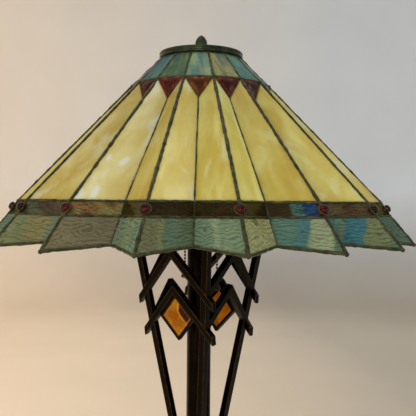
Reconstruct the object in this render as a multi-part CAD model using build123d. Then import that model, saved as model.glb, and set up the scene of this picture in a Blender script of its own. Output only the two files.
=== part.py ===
from build123d import *
import math
import os

# Stained glass table lamp: pleated sixteen-rib leaded shade on a bronze lattice stand.
# Millimetres, +Z up, origin on the table under the centre of the foot.
# Angles are measured about +Z from -Y (the front) towards +X.

# ---------------------------------------------------------------- driving dimensions
ZJ = 466.0            # height of the jewel band plane above the table
N = 16                # ribs
STEP_A = 360.0 / N
SHADE_PHASE = 3.13    # first ridge, degrees from the front

# ridge profile (outer skin), radius and height above the jewel plane
R_TOP, Z_TOP = 46.0, 161.5      # glass under the vase cap
R_KNEE, Z_KNEE = 76.0, 131.5    # foot of the crown panels
R_BT, Z_BT = 195.3, 6.5         # band, top line
R_BB, Z_BB = 204.3, -6.5        # band, bottom line
R_TIP, Z_TIP = 229.3, -36.1     # points of the skirt
# valley profile, half a rib away
RV_BT, ZV_BT = 161.4, 6.1
ZV_APEX = 108.6                 # tip of the ruby triangles
ZV_BB = -7.5
ZV_EDGE = -31.3

GLASS_T = 3.0
RIDGE_R = 2.0         # solder bead along the ridges
VALLEY_R = 1.0
BAND_R = 1.1
CROWN_R = 1.25
EDGE_R = 1.35
JEWEL_R = 4.3

# stand
COL_R = 13.2          # column tube
STRUT = 7.6           # square bar
STRUT_R0, STRUT_Z0, STRUT_SLOPE = 58.7, -81.3, 0.2022   # centre line radius at a height below the jewel plane
STRUT_TOP = -24.0
BAR_W, BAR_SLOPE = 6.7, 47.3        # chevron bars: width, and their fall in degrees
BAR_IN, BAR_OUT = -3.0, 4.2     # bar faces, measured outwards from the strut centre plane
UP_APEX, LOW_APEX = -46.4, -86.2    # centre-line apex heights below the jewel plane
TAIL_UP, TAIL_LOW = 51.0, 47.2      # half widths of the long chevrons, to the upright cut ends of their tails
DIAMOND_H = 25.6      # half height of the diamond frame
DIAMOND_IN, DIAMOND_OUT = -3.0, 2.2     # its faces, measured like the bars
LIP = 3.0
PIPE_R = 4.9          # lamp pipe, 1/8 IP
PIPE_BORE = 3.3
CAP_R = 46.0
SOCKET_X = 36.0
CHAIN_X, CHAIN_Y = 17.5, -15.0
BEAD_R, BEAD_PITCH = 1.25, 3.5
FOOT = 178.0          # side of the square foot

os.makedirs("parts", exist_ok=True)


# ---------------------------------------------------------------- helpers
def P(r, z, a):
    t = math.radians(a)
    return Vector(r * math.sin(t), -r * math.cos(t), z)


def write(shape, name):
    if isinstance(shape, (list, tuple)):
        solids = []
        for s in shape:
            solids += list(s.solids())
        shape = solids[0] if len(solids) == 1 else Compound(children=solids)
    shape.label = name
    export_step(shape, f"parts/{name}.step")


def turned(solids, n=N, step=STEP_A, start=0.0):
    out = []
    for i in range(n):
        for s in solids:
            out.append(s.rotate(Axis.Z, start + i * step))
    return out


def cyl(a, b, r):
    d = b - a
    return Solid.make_cylinder(r, d.length, Plane(origin=a, z_dir=d.normalized()))


def ball(c, r):
    return Solid.make_sphere(r, Plane(origin=c), angle1=-90, angle2=90, angle3=360)


def rod(points, r):
    """Round bead through the points, as one solid, with flat ends."""
    s = cyl(points[0], points[1], r)
    for i in range(1, len(points) - 1):
        s = s.fuse(ball(points[i], r)).fuse(cyl(points[i], points[i + 1], r))
    return s.solids()[0] if len(s.solids()) == 1 else s


def cut(solid, tools):
    for t in tools:
        solid = solid.cut(t)
    return sorted(solid.solids(), key=lambda s: -s.volume)[0]


def pane(points, insets, t=GLASS_T):
    """Flat pane: a convex polygon, each edge drawn in by its own inset, thickened towards the lamp's axis."""
    n = (points[1] - points[0]).cross(points[2] - points[0]).normalized()
    c = sum(points, Vector(0, 0, 0)) * (1.0 / len(points))
    out = Vector(c.X, c.Y, 0).normalized() + Vector(0, 0, 0.7)
    if n.dot(out) < 0:
        n = n * -1
    u = (points[1] - points[0]).normalized()
    v = n.cross(u)
    o = points[0]
    q = [((p - o).dot(u), (p - o).dot(v)) for p in points]
    cx = sum(a for a, _ in q) / len(q)
    cy = sum(b for _, b in q) / len(q)
    lines = []
    for i in range(len(q)):
        x0, y0 = q[i]
        x1, y1 = q[(i + 1) % len(q)]
        dx, dy = x1 - x0, y1 - y0
        ln = math.hypot(dx, dy)
        nx, ny = -dy / ln, dx / ln
        if nx * (cx - x0) + ny * (cy - y0) < 0:
            nx, ny = -nx, -ny
        lines.append((nx, ny, nx * x0 + ny * y0 + insets[i]))
    pts = []
    for i in range(len(q)):
        a, b = lines[i - 1], lines[i]
        det = a[0] * b[1] - a[1] * b[0]
        x = (a[2] * b[1] - a[1] * b[2]) / det
        y = (a[0] * b[2] - a[2] * b[0]) / det
        pts.append(o + u * x + v * y)
    f = Face(Wire.make_polygon(pts, close=True))
    return Solid.extrude(f, n * -t), n


def valley_radius(a, b, c, z):
    """Radius, at height z and half a rib from the ridge, of the plane through a, b and c."""
    n = (b - a).cross(c - a)
    d = n.dot(a)
    t = math.radians(STEP_A / 2)
    k = n.X * math.sin(t) - n.Y * math.cos(t)
    return (d - n.Z * z) / k


# ---------------------------------------------------------------- shade skin, built on one rib and then turned
H = STEP_A / 2
zj = ZJ
A_knee, A_bt, A_bb, A_tip = P(R_KNEE, zj + Z_KNEE, 0), P(R_BT, zj + Z_BT, 0), P(R_BB, zj + Z_BB, 0), P(R_TIP, zj + Z_TIP, 0)
A_top = P(R_TOP, zj + Z_TOP, 0)
V_bt = P(RV_BT, zj + ZV_BT, H)
RV_APEX = valley_radius(A_knee, A_bt, V_bt, zj + ZV_APEX)
V_apex = P(RV_APEX, zj + ZV_APEX, H)
RV_BB = valley_radius(A_bt, A_bb, V_bt, zj + ZV_BB)
V_bb = P(RV_BB, zj + ZV_BB, H)
RV_EDGE = valley_radius(A_bb, A_tip, V_bb, zj + ZV_EDGE)
V_edge = P(RV_EDGE, zj + ZV_EDGE, H)
B_knee = P(R_KNEE, zj + Z_KNEE, STEP_A)
B_top = P(R_TOP, zj + Z_TOP, STEP_A)
print("valley radii: apex %.1f, band top %.1f, band bottom %.1f, edge %.1f" % (RV_APEX, RV_BT, RV_BB, RV_EDGE))


def mirrored(s):
    """The same pane on the other side of its ridge (mirror in the plane x = 0)."""
    return s.mirror(Plane.YZ)


def inner(p, d=1.3):
    """A bead's centre line sits a little inside the skin."""
    v = Vector(p.X, p.Y, 0)
    return p - v.normalized() * d - Vector(0, 0, 0.4 * d)


ridge_fold = 2.9      # the two panes of a rib meet at a sharp fold, so their inner faces need this room
crown, _ = pane([A_top, B_top, B_knee, A_knee], [0.6, 0.9, 1.0, 0.9])
ruby, _ = pane([A_knee, B_knee, V_apex], [1.0, 0.4, 0.4])
amber, n_amber = pane([A_knee, V_apex, V_bt, A_bt], [0.4, 0.25, 0.4, ridge_fold])
band, n_band = pane([A_bt, V_bt, V_bb, A_bb], [0.4, 0.25, 0.4, ridge_fold])
skirt, n_skirt = pane([A_bb, V_bb, V_edge, A_tip], [0.4, 0.25, 0.6, ridge_fold])
fold = math.degrees(math.acos(min(1.0, n_amber.dot(Vector(-n_amber.X, n_amber.Y, n_amber.Z)))))
print("ridge fold angle %.1f deg" % fold)

# solder beads of one rib
ridge_bead = rod([inner(A_top, 1.0), inner(A_knee), inner(A_bt), inner(A_bb), inner(A_tip)], RIDGE_R)
valley_bead = rod([inner(V_apex, 0.8), inner(V_bt, 0.8), inner(V_bb, 0.8), inner(V_edge, 0.8)], VALLEY_R)
knee_bead = cyl(inner(A_knee, 1.0), inner(B_knee, 1.0), CROWN_R)
vee_a = cyl(inner(A_knee, 1.0), inner(V_apex, 1.0), CROWN_R)
vee_b = cyl(inner(B_knee, 1.0), inner(V_apex, 1.0), CROWN_R)
top_bead = cyl(inner(A_top, 1.0), inner(B_top, 1.0), CROWN_R)
band_up = cyl(inner(A_bt, 1.0), inner(V_bt, 1.0), BAND_R)
band_dn = cyl(inner(A_bb, 1.0), inner(V_bb, 1.0), BAND_R)
edge = cyl(inner(A_tip, 1.0), inner(V_edge, 1.0), EDGE_R)
next_ridge = ridge_bead.rotate(Axis.Z, STEP_A)

# cabochon on the ridge
slope = (A_bb - A_bt).normalized()
j_out = Vector(0, slope.Z, -slope.Y).normalized()
if j_out.Y > 0:
    j_out = j_out * -1
j_c = (A_bt + A_bb) * 0.5
j_base = j_c - j_out * 2.6
dome = [(JEWEL_R * math.cos(math.radians(t)), 4.4 + 2.6 * math.sin(math.radians(t))) for t in range(0, 90, 10)]
w_j = Wire.make_polygon([Vector(r, 0, z) for r, z in [(0, 0), (JEWEL_R, 0)] + dome + [(0, 7.0)]], close=True)
jewel = Solid.revolve(Face(w_j), 360, Axis.Z).moved(Plane(origin=j_base, z_dir=j_out).location)
jewel_tool = cyl(j_base - j_out * 0.02, j_c + j_out * 9, JEWEL_R + 0.02)

ridge_bead_c = sorted(ridge_bead.cut(jewel_tool).solids(), key=lambda s: -s.volume)[:2]
mir = lambda s: mirrored(s)
knee_bead = cut(knee_bead, [ridge_bead, next_ridge])
vee_a = cut(vee_a, [ridge_bead, knee_bead])
vee_b = cut(vee_b, [next_ridge, knee_bead, vee_a])
valley_bead = cut(valley_bead, [vee_a, vee_b])
top_bead = cut(top_bead, [ridge_bead, next_ridge])
band_up = cut(band_up, [ridge_bead, valley_bead, jewel_tool])
band_dn = cut(band_dn, [ridge_bead, valley_bead, jewel_tool])
edge = cut(edge, [ridge_bead, valley_bead])

crown = cut(crown, [ridge_bead, next_ridge, knee_bead, top_bead])
ruby = cut(ruby, [ridge_bead, next_ridge, knee_bead, vee_a, vee_b, valley_bead])
amber = cut(amber, [ridge_bead, valley_bead, vee_a, knee_bead, band_up])
band = cut(band, [ridge_bead, valley_bead, band_up, band_dn, jewel_tool])
skirt = cut(skirt, [ridge_bead, valley_bead, band_dn, edge, jewel_tool])

S0 = SHADE_PHASE
write(turned([crown], start=S0), "crown_glass")
write(turned([ruby], start=S0), "ruby_triangles")
write(turned([amber, mir(amber)], start=S0), "amber_panels")
write(turned([band, mir(band)], start=S0), "band_glass")
write(turned([skirt, mir(skirt)], start=S0), "skirt_glass")
write(turned([jewel], start=S0), "ridge_jewels")
write(turned(ridge_bead_c, start=S0), "ridge_cames")
write(turned([valley_bead], start=S0), "valley_cames")
write(turned([knee_bead, vee_a, vee_b, top_bead], start=S0), "crown_cames")
write(turned([band_up, band_dn, mir(band_up), mir(band_dn)], start=S0), "band_cames")
write(turned([edge, mir(edge)], start=S0), "edge_cames")


# ---------------------------------------------------------------- shade ring, vase cap, finial, lamp pipe
def ring(r_out, r_in, z0, z1):
    a = Solid.make_cylinder(r_out, z1 - z0, Plane(origin=(0, 0, z0)))
    return a.cut(Solid.make_cylinder(r_in, z1 - z0 + 2, Plane(origin=(0, 0, z0 - 1)))).solids()[0]


def lathe(profile):
    """Solid of revolution about Z from (radius, z) pairs."""
    w = Wire.make_polygon([Vector(r, 0, z) for r, z in profile], close=True)
    return Solid.revolve(Face(w), 360, Axis.Z)


def hex_nut(across, r_in, z0, z1):
    s = extrude(Plane.XY.offset(z0) * RegularPolygon(across / math.sqrt(3), 6), z1 - z0)
    s = s - Solid.make_cylinder(r_in, z1 - z0 + 2, Plane(origin=(0, 0, z0 - 1)))
    return s.solids()[0]


ZC = zj + 163.0       # underside of the vase cap's rim
cap = lathe([
    (PIPE_R + 0.08, ZC + 4.4), (12, ZC + 4.4), (30, ZC + 3.6), (40.2, ZC + 2.4), (43.6, ZC + 0.9), (44.2, ZC), (CAP_R - 0.6, ZC), (CAP_R, ZC + 0.6),
    (CAP_R, ZC + 5.6), (CAP_R - 0.7, ZC + 6.6), (CAP_R - 2.2, ZC + 7.0), (38, ZC + 7.4), (28, ZC + 8.2), (16, ZC + 8.9), (10, ZC + 9.2), (PIPE_R + 0.08, ZC + 9.2)])
write(cap, "vase_cap")
write(lathe([(38.4, ZC - 7.5), (40.2, ZC - 7.5), (40.2, ZC + 2.3), (38.4, ZC + 2.4)]), "shade_ring")

# centring cross inside the ring carries the cap's load to the ring
seat_z = ZC + 4.4
write(hex_nut(17.0, PIPE_R, seat_z - 4.0, seat_z), "cap_nut")

write(ring(8.5, PIPE_R + 0.1, ZC + 9.2, ZC + 10.4), "finial_washer")
fz = ZC + 10.4
fin_pts = [(0, fz + 6.2), (PIPE_R + 0.06, fz + 6.2), (PIPE_R + 0.06, fz), (6.6, fz), (7.3, fz + 0.5), (7.4, fz + 1.6), (6.9, fz + 2.6), (5.9, fz + 3.1), (5.85, fz + 3.9),
           (6.6, fz + 4.8), (6.75, fz + 6.4), (6.55, fz + 8.6), (5.9, fz + 11.0), (4.7, fz + 13.2), (3.0, fz + 15.1), (1.3, fz + 16.4), (0, fz + 16.9)]
# solid below the bore's roof needs the bore height inside the widest part of the acorn
write(lathe(fin_pts), "finial")
print("finial top %.1f" % (fz + 16.9))

pipe_bottom = 9.0
pipe_top = fz + 6.0
pipe = lathe([(PIPE_BORE, pipe_bottom), (PIPE_R, pipe_bottom), (PIPE_R, pipe_top), (PIPE_BORE, pipe_top)])
write(pipe, "lamp_pipe")

# ---------------------------------------------------------------- column, lattice
Z_SP = zj + STRUT_TOP          # underside of the top spider
FOOT_TOP = 40.0
column = ring(COL_R, COL_R - 1.6, FOOT_TOP, Z_SP)
write(column, "column")


def strut_radius(z):
    return STRUT_R0 + STRUT_SLOPE * (z - zj - STRUT_Z0)


def frame_of(a):
    """Unit vectors of the direction a: outwards and sideways."""
    t = math.radians(a)
    return Vector(math.sin(t), -math.cos(t), 0), Vector(math.cos(t), math.sin(t), 0)


def bar_between(a, b, out, w_in, w_out, width):
    """Flat bar from a to b, its width square to a-b in the plane normal to out, from w_in to w_out along out."""
    d = (b - a).normalized()
    s = d.cross(out).normalized() * (width / 2)
    o = out * w_in
    f = Face(Wire.make_polygon([a + s + o, b + s + o, b - s + o, a - s + o], close=True))
    return Solid.extrude(f, out * (w_out - w_in))


COLLAR_Z0, COLLAR_Z1 = 178.0, 194.0
h2 = STRUT / 2
struts = {}
for name, a in (("front", 0), ("right", 90), ("back", 180), ("left", -90)):
    out, side = frame_of(a)
    zt, zb = Z_SP, COLLAR_Z1 - 4
    # a square bar turned 45 degrees, so that its faces lie in the four panel planes
    ends = []
    for z in (zb, zt):
        c = out * strut_radius(z) + Vector(0, 0, z)
        k = h2 * math.sqrt(2)
        ends.append([c + out * k, c + side * k, c - out * k, c - side * k])
    f0 = Face(Wire.make_polygon(ends[0], close=True))
    s = Solid.extrude(f0, ends[1][0] - ends[0][0])
    struts[name] = (s, a)


def bar_plane_point(a, e, z, w=0.0):
    """Point of panel a: e sideways, height z; w outwards from the plane through the two strut centre lines."""
    out, side = frame_of(a)
    d = strut_radius(z) * math.sqrt(0.5) + w
    return out * d + side * e + Vector(0, 0, z)


LEAN = math.atan(STRUT_SLOPE * math.sqrt(0.5))   # the panels lean with their struts


def panel_axes(a):
    out, side = frame_of(a)
    up = (out * math.sin(LEAN) + Vector(0, 0, math.cos(LEAN)))
    nrm = (out * math.cos(LEAN) - Vector(0, 0, math.sin(LEAN)))
    return nrm, side, up


TAN_B = math.tan(math.radians(BAR_SLOPE))
COS_B = math.cos(math.radians(BAR_SLOPE))


def chevron(a, z_apex, e_end, w0, w1):
    """One chevron of panel a as a single V, its ends cut upright."""
    nrm, side, up = panel_axes(a)
    apex = bar_plane_point(a, 0, zj + z_apex) + nrm * w0
    dh = BAR_W / 2 / COS_B
    line = [(0, dh), (e_end, dh - TAN_B * e_end), (e_end, -dh - TAN_B * e_end), (0, -dh), (-e_end, -dh - TAN_B * e_end), (-e_end, dh - TAN_B * e_end)]
    f = Face(Wire.make_polygon([apex + side * e + up * h for e, h in line], close=True))
    return Solid.extrude(f, nrm * (w1 - w0))


panels = {"front_left": -45, "front_right": 45, "back_right": 135, "back_left": -135}
long_panels = ("front_left", "back_right")
bars = {}
lap_tools = []
for name, a in panels.items():
    for lvl, za, tail in (("upper", UP_APEX, TAIL_UP), ("lower", LOW_APEX, TAIL_LOW)):
        if name in long_panels:
            bars[(name, lvl)] = chevron(a, za, tail, BAR_IN, BAR_OUT)
            lap_tools.append(chevron(a, za, tail, 0.0, BAR_OUT + 2.0))
        else:
            bars[(name, lvl)] = chevron(a, za, tail - 4.0, BAR_IN, BAR_OUT)

# half-lap joints: struts and long chevrons each give up half their depth where they cross
for name, (s, a) in struts.items():
    s = cut(s, lap_tools)
    struts[name] = s
    write(s, f"strut_{name}")
for key in bars:
    if key[0] in long_panels:
        bars[key] = cut(bars[key], list(struts.values()))
# the short chevrons butt against strut and long bar
long_tools = [bars[k] for k in bars if k[0] in long_panels]
for key in bars:
    if key[0] not in long_panels:
        bars[key] = cut(bars[key], list(struts.values()) + long_tools)
for name in panels:
    write([bars[k] for k in bars if k[0] == name], f"chevrons_{name}")


def diamond(a):
    """Glass in a thin channel frame with sides parallel to the bars, standing on its corner under the lower chevron."""
    nrm, side, up = panel_axes(a)
    c = bar_plane_point(a, 0, zj + LOW_APEX) - up * (BAR_W / 2 / COS_B + 0.02 / COS_B + DIAMOND_H)

    def rhomb(inset, w0, w1):
        h = DIAMOND_H - inset / COS_B
        f = Face(Wire.make_polygon([c + p + nrm * w0 for p in (up * h, side * (h / TAN_B), up * -h, side * (-h / TAN_B))], close=True))
        return Solid.extrude(f, nrm * (w1 - w0))

    fr = rhomb(0, DIAMOND_IN, DIAMOND_OUT).cut(rhomb(LIP, DIAMOND_IN - 2, DIAMOND_OUT + 2)).cut(rhomb(LIP / 2, -1.6, 0.8))
    return fr.solids()[0], rhomb(LIP / 2 + 0.1, -1.5, 0.7)


for tag, a in (("front", -45), ("back", 135)):
    fr, gl = diamond(a)
    write(fr, f"diamond_frame_{tag}")
    write(gl, f"diamond_glass_{tag}")

# top spider: four arms from the column to the strut heads
arm_l = strut_radius(Z_SP) + 5.5
sp = extrude(Plane.XY.offset(Z_SP) * Circle(19), 4.0)
for a in (0, 90):
    sp += extrude(Plane.XY.offset(Z_SP) * Rot(0, 0, a) * RectangleRounded(2 * arm_l, 13.0, 5.0), 4.0)
sp -= Solid.make_cylinder(PIPE_R, 20, Plane(origin=(0, 0, Z_SP - 5)))
screw_at = []
for a in (0, 90, 180, -90):
    out, side = frame_of(a)
    p = out * strut_radius(Z_SP)
    screw_at.append(p)
    sp -= Solid.make_cylinder(1.6, 20, Plane(origin=(p.X, p.Y, Z_SP - 5)))
write(sp.solids()[0], "top_spider")
# cheese-head screws down into the strut heads
screws = []
for p in screw_at:
    z0 = Z_SP + 4.0
    screws.append(lathe([(0, Z_SP + 0.02), (1.5, Z_SP + 0.02), (1.5, z0), (3.0, z0), (3.0, z0 + 1.6), (2.5, z0 + 2.1), (0, z0 + 2.1)]).moved(Location((p.X, p.Y, 0))))
write(screws, "spider_screws")

# plug in the column's head centres the pipe
write(lathe([(PIPE_R, Z_SP - 12), (COL_R - 1.6, Z_SP - 12), (COL_R - 1.6, Z_SP), (PIPE_R, Z_SP)]), "column_plug")

# lower collar: turned ring round the column that takes the four strut feet
col_out = strut_radius(COLLAR_Z1) + 8.0
collar = lathe([(COL_R, COLLAR_Z0), (COL_R + 5, COLLAR_Z0), (COL_R + 7, COLLAR_Z0 + 2), (col_out - 1.0, COLLAR_Z0 + 6), (col_out, COLLAR_Z0 + 7.5),
                (col_out, COLLAR_Z1 - 2), (col_out - 1.5, COLLAR_Z1), (COL_R, COLLAR_Z1)])
for name in struts:
    collar = collar.cut(struts[name])
write(collar.solids()[0], "lower_collar")

# ---------------------------------------------------------------- two-light cluster
Z_CL = Z_SP + 4.0
body = lathe([(PIPE_R, Z_CL), (15.5, Z_CL), (16.5, Z_CL + 1), (16.5, Z_CL + 17), (15.5, Z_CL + 18), (PIPE_R, Z_CL + 18)])
cav = ring(14.5, PIPE_R + 2.5, Z_CL + 2.0, Z_CL + 15.0)
arm = cyl(Vector(-SOCKET_X, 0, Z_CL + 9), Vector(SOCKET_X, 0, Z_CL + 9), 6.0)
arm = arm.cut(Solid.make_cylinder(10, 40, Plane(origin=(0, 0, Z_CL - 5))))
body = body.fuse(*arm.solids()).cut(cav)
CUP_Z = Z_CL + 9 + 8
for sx in (-1, 1):
    cup = lathe([(0, Z_CL + 1.5), (6, Z_CL + 1.5), (9, Z_CL + 4), (10, Z_CL + 9), (10, CUP_Z), (0, CUP_Z)]).moved(Location((sx * SOCKET_X, 0, 0)))
    body = body.fuse(cup)
body = body.cut(Solid.make_cylinder(PIPE_R, 60, Plane(origin=(0, 0, Z_CL - 10))))
write(sorted(body.solids(), key=lambda s: -s.volume)[0], "cluster_body")
write(hex_nut(15.0, PIPE_R, Z_CL + 18, Z_CL + 22), "cluster_nut")

SOCK_Z = CUP_Z
SHELL_R = 15.5
pairs = {"socket_caps": [], "socket_interiors": [], "screw_shells": []}
for tag, sx in (("left", -1), ("right", 1)):
    x0 = sx * SOCKET_X
    L = Location((x0, 0, 0))
    # lower cap of the socket
    cap_s = lathe([(5.5, SOCK_Z), (11, SOCK_Z), (14.2, SOCK_Z + 3), (SHELL_R + 0.7, SOCK_Z + 9), (SHELL_R + 0.7, SOCK_Z + 14), (SHELL_R - 0.6, SOCK_Z + 14), (SHELL_R - 0.6, SOCK_Z + 9.4), (13.2, SOCK_Z + 4.4), (10.6, SOCK_Z + 1.4), (5.5, SOCK_Z + 1.4)]).moved(L)
    pairs["socket_caps"].append(cap_s)
    shell = lathe([(SHELL_R - 0.7, SOCK_Z + 14), (SHELL_R, SOCK_Z + 14), (SHELL_R, SOCK_Z + 46), (SHELL_R + 0.6, SOCK_Z + 46.6), (SHELL_R + 0.6, SOCK_Z + 47.6), (SHELL_R - 0.7, SOCK_Z + 47.6)]).moved(L)
    # pull-switch outlet: short tube towards the axis and the front, with a mouth turned down
    oz = SOCK_Z + 19.0
    cpt = Vector(sx * CHAIN_X, CHAIN_Y, oz)
    hub = Vector(x0, 0, oz)
    d = (cpt - hub).normalized()
    hole = cyl(hub + d * 12.0, cpt, 3.31)
    shell = shell.cut(hole)
    write(shell.solids()[0], f"socket_shell_{tag}")
    inner_body = lathe([(0, SOCK_Z + 2), (10, SOCK_Z + 2), (12.8, SOCK_Z + 6), (13.3, SOCK_Z + 14), (13.3, SOCK_Z + 24), (0, SOCK_Z + 24)]).moved(L)
    inner_body = inner_body.cut(cyl(hub + d * 8.0, cpt, 1.9))
    pairs["socket_interiors"].append(inner_body.solids()[0])
    sleeve = lathe([(13.45, SOCK_Z + 24.05), (13.95, SOCK_Z + 24.05), (13.95, SOCK_Z + 46.5), (13.45, SOCK_Z + 46.5)]).moved(L)
    pairs["screw_shells"].append(sleeve)
    out_tube = cyl(hub + d * 13.6, cpt, 3.3).fuse(ball(cpt, 3.6)).fuse(cyl(cpt, cpt - Vector(0, 0, 14), 3.3))
    mouth = Solid.make_cone(3.3, 4.4, 3.0, Plane(origin=cpt - Vector(0, 0, 14), z_dir=(0, 0, -1)))
    out_tube = out_tube.fuse(mouth)
    out_tube = out_tube.cut(cyl(cpt + Vector(0, 0, 1), cpt - Vector(0, 0, 18), 2.1)).cut(cyl(hub + d * 10, cpt, 1.7))
    out_tube = out_tube.cut(Solid.make_cylinder(13.32, 80, Plane(origin=(x0, 0, SOCK_Z - 10))))
    write(sorted(out_tube.solids(), key=lambda s: -s.volume)[0], f"chain_outlet_{tag}")
    # bead chain, hanging from inside the outlet
    z_top = oz - 1.0
    z_end = zj + (-66.0 if sx < 0 else -80.0)
    n_b = int((z_top - z_end) / BEAD_PITCH)
    cx, cy = sx * CHAIN_X, CHAIN_Y
    ch = Solid.make_cylinder(0.45, n_b * BEAD_PITCH, Plane(origin=(cx, cy, z_top - n_b * BEAD_PITCH)))
    for i in range(n_b + 1):
        ch = ch.fuse(ball(Vector(cx, cy, z_top - i * BEAD_PITCH), BEAD_R))
    z_last = z_top - n_b * BEAD_PITCH
    pull = lathe([(0, z_last - 1.0), (1.7, z_last - 1.0), (2.1, z_last - 2.2), (2.3, z_last - 4.0), (3.2, z_last - 7.0), (4.1, z_last - 8.4), (4.2, z_last - 9.2), (3.4, z_last - 10.2), (0, z_last - 10.6)]).moved(Location((cx, cy, 0)))
    pull = pull.cut(ball(Vector(cx, cy, z_last), BEAD_R + 0.02))
    ch = ch.cut(pull)
    write(sorted(ch.solids(), key=lambda s: -s.volume)[0], f"pull_chain_{tag}")
    write(sorted(pull.solids(), key=lambda s: -s.volume)[0], f"chain_pull_{tag}")
    # bulb: screw base and glass envelope
    bz = SOCK_Z + 24.5
    base_b = lathe([(0, bz), (3.0, bz), (4.5, bz + 1.2), (11.0, bz + 4.5), (13.2, bz + 6), (13.2, bz + 24), (12.4, bz + 26), (0, bz + 26)]).moved(L)
    env = lathe([(0, bz + 26), (12.4, bz + 26), (13.4, bz + 30), (15.2, bz + 35), (18.6, bz + 42), (22.0, bz + 50), (23.7, bz + 57), (24.0, bz + 62), (23.3, bz + 68), (20.8, bz + 75), (16.4, bz + 81), (10.0, bz + 85), (3.5, bz + 86.7), (0, bz + 87)]).moved(L)
    write(base_b, f"bulb_base_{tag}")
    write(env, f"bulb_glass_{tag}")

for name, both in pairs.items():
    write(both, name)

# ---------------------------------------------------------------- foot
def square_step(side_len, z0, z1, r_top, rad=5.0):
    s = extrude(Plane.XY.offset(z0) * Rot(0, 0, 45) * RectangleRounded(side_len, side_len, rad), z1 - z0)
    return fillet(s.faces().sort_by(Axis.Z)[-1].edges(), r_top)


FELT_T = 2.0
Z_F0 = FELT_T
base = square_step(FOOT, Z_F0, 16.0, 3.0)
base += square_step(FOOT - 46, 16.0, 24.0, 2.5)
base += square_step(FOOT - 92, 24.0, 31.0, 2.5)
base += square_step(FOOT - 126, 31.0, 35.0, 1.5)
# hollow underneath for the weight
base -= extrude(Plane.XY.offset(Z_F0 - 1) * Rot(0, 0, 45) * RectangleRounded(FOOT - 14, FOOT - 14, 3.0), 10.0 + 1)
base -= extrude(Plane.XY.offset(Z_F0 - 1) * Rot(0, 0, 45) * RectangleRounded(FOOT - 60, FOOT - 60, 3.0), 17.0 + 1)
base -= Solid.make_cylinder(PIPE_R, 80, Plane(origin=(0, 0, -5)))
# cord inlet through the back wall
INLET_Z, INLET_R = 8.0, 4.6
bk, bside = frame_of(135)
inlet_a, inlet_b = bk * (FOOT / 2 - 12) + Vector(0, 0, INLET_Z), bk * (FOOT / 2 + 5) + Vector(0, 0, INLET_Z)
base -= cyl(inlet_a, inlet_b, INLET_R)
base_s = sorted(base.solids(), key=lambda s: -s.volume)[0]
write(base_s, "foot_casting")
# bushing in the inlet
bw = FOOT / 2
bush = cyl(bk * (bw - 8.0) + Vector(0, 0, INLET_Z), bk * (bw + 1.6) + Vector(0, 0, INLET_Z), INLET_R - 0.02)
bush = bush.fuse(cyl(bk * (bw + 0.02) + Vector(0, 0, INLET_Z), bk * (bw + 1.6) + Vector(0, 0, INLET_Z), 5.8))
bush = bush.cut(cyl(bk * (bw - 14) + Vector(0, 0, INLET_Z), bk * (bw + 5) + Vector(0, 0, INLET_Z), 3.0))
write(bush.solids()[0], "cord_bushing")
# socket cup that receives the column
cup = lathe([(PIPE_R, 35.0), (24, 35.0), (24, 37.0), (21.5, 39.0), (18.5, 41.0), (17.2, 44.5), (16.3, 49.0), (15.9, 51.0), (COL_R, 51.0), (COL_R, FOOT_TOP), (PIPE_R, FOOT_TOP)])
write(cup, "column_cup")
# weight, clamp washer and nut under the casting, closed by a board and felt
wz0, wz1 = 6.5, 18.9
weight = extrude(Plane.XY.offset(wz0) * Rot(0, 0, 45) * RectangleRounded(FOOT - 64, FOOT - 64, 3.0), wz1 - wz0)
weight -= Solid.make_cylinder(16, 40, Plane(origin=(0, 0, 0)))
write(weight.solids()[0], "foot_weight")
write(ring(14.0, PIPE_R, 17.2, 18.98), "foot_washer")
write(hex_nut(15.0, PIPE_R, 13.2, 17.2), "foot_nut")
board = extrude(Plane.XY.offset(Z_F0) * Rot(0, 0, 45) * RectangleRounded(FOOT - 14.1, FOOT - 14.1, 3.0), 1.4)
write(board.solids()[0], "foot_board")
felt = extrude(Plane.XY * Rot(0, 0, 45) * RectangleRounded(FOOT - 4, FOOT - 4, 4.0), FELT_T)
write(felt.solids()[0], "felt_pad")
print("strut radius at collar %.1f, at spider %.1f" % (strut_radius(COLLAR_Z1), strut_radius(Z_SP)))
print("bulb top %.1f below jewel-plane reference %.1f" % (bz + 87, zj))
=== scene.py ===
import math

import bmesh
import bpy
import numpy as np
from mathutils import Matrix, Vector


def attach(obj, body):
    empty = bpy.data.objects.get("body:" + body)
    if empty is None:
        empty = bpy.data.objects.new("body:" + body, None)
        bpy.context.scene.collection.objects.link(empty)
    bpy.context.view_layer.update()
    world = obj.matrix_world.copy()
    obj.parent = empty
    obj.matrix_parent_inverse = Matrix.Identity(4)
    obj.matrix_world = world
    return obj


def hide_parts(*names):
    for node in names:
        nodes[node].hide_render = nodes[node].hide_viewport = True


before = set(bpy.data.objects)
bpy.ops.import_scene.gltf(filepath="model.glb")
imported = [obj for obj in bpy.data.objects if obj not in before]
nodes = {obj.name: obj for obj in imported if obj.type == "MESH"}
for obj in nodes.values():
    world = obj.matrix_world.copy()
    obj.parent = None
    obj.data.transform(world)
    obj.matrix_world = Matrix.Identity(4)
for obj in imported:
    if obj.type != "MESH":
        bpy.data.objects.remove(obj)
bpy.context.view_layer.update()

# Stained glass table lamp. Sizes below are millimetres in the row frame; meshes are written in metres.
ZJ = 466.0
N = 16
STEP_A = 360.0 / N
PHASE = 3.13
H = STEP_A / 2


# ------------------------------------------------------------------ small maths
def P(r, z, a):
    t = math.radians(a)
    return np.array([r * math.sin(t), -r * math.cos(t), z])


def unit(v):
    return v / np.linalg.norm(v)


def rot_z(p, a):
    t = math.radians(a)
    c, s = math.cos(t), math.sin(t)
    m = np.array([[c, -s, 0], [s, c, 0], [0, 0, 1]])
    return np.asarray(p) @ m.T


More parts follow.
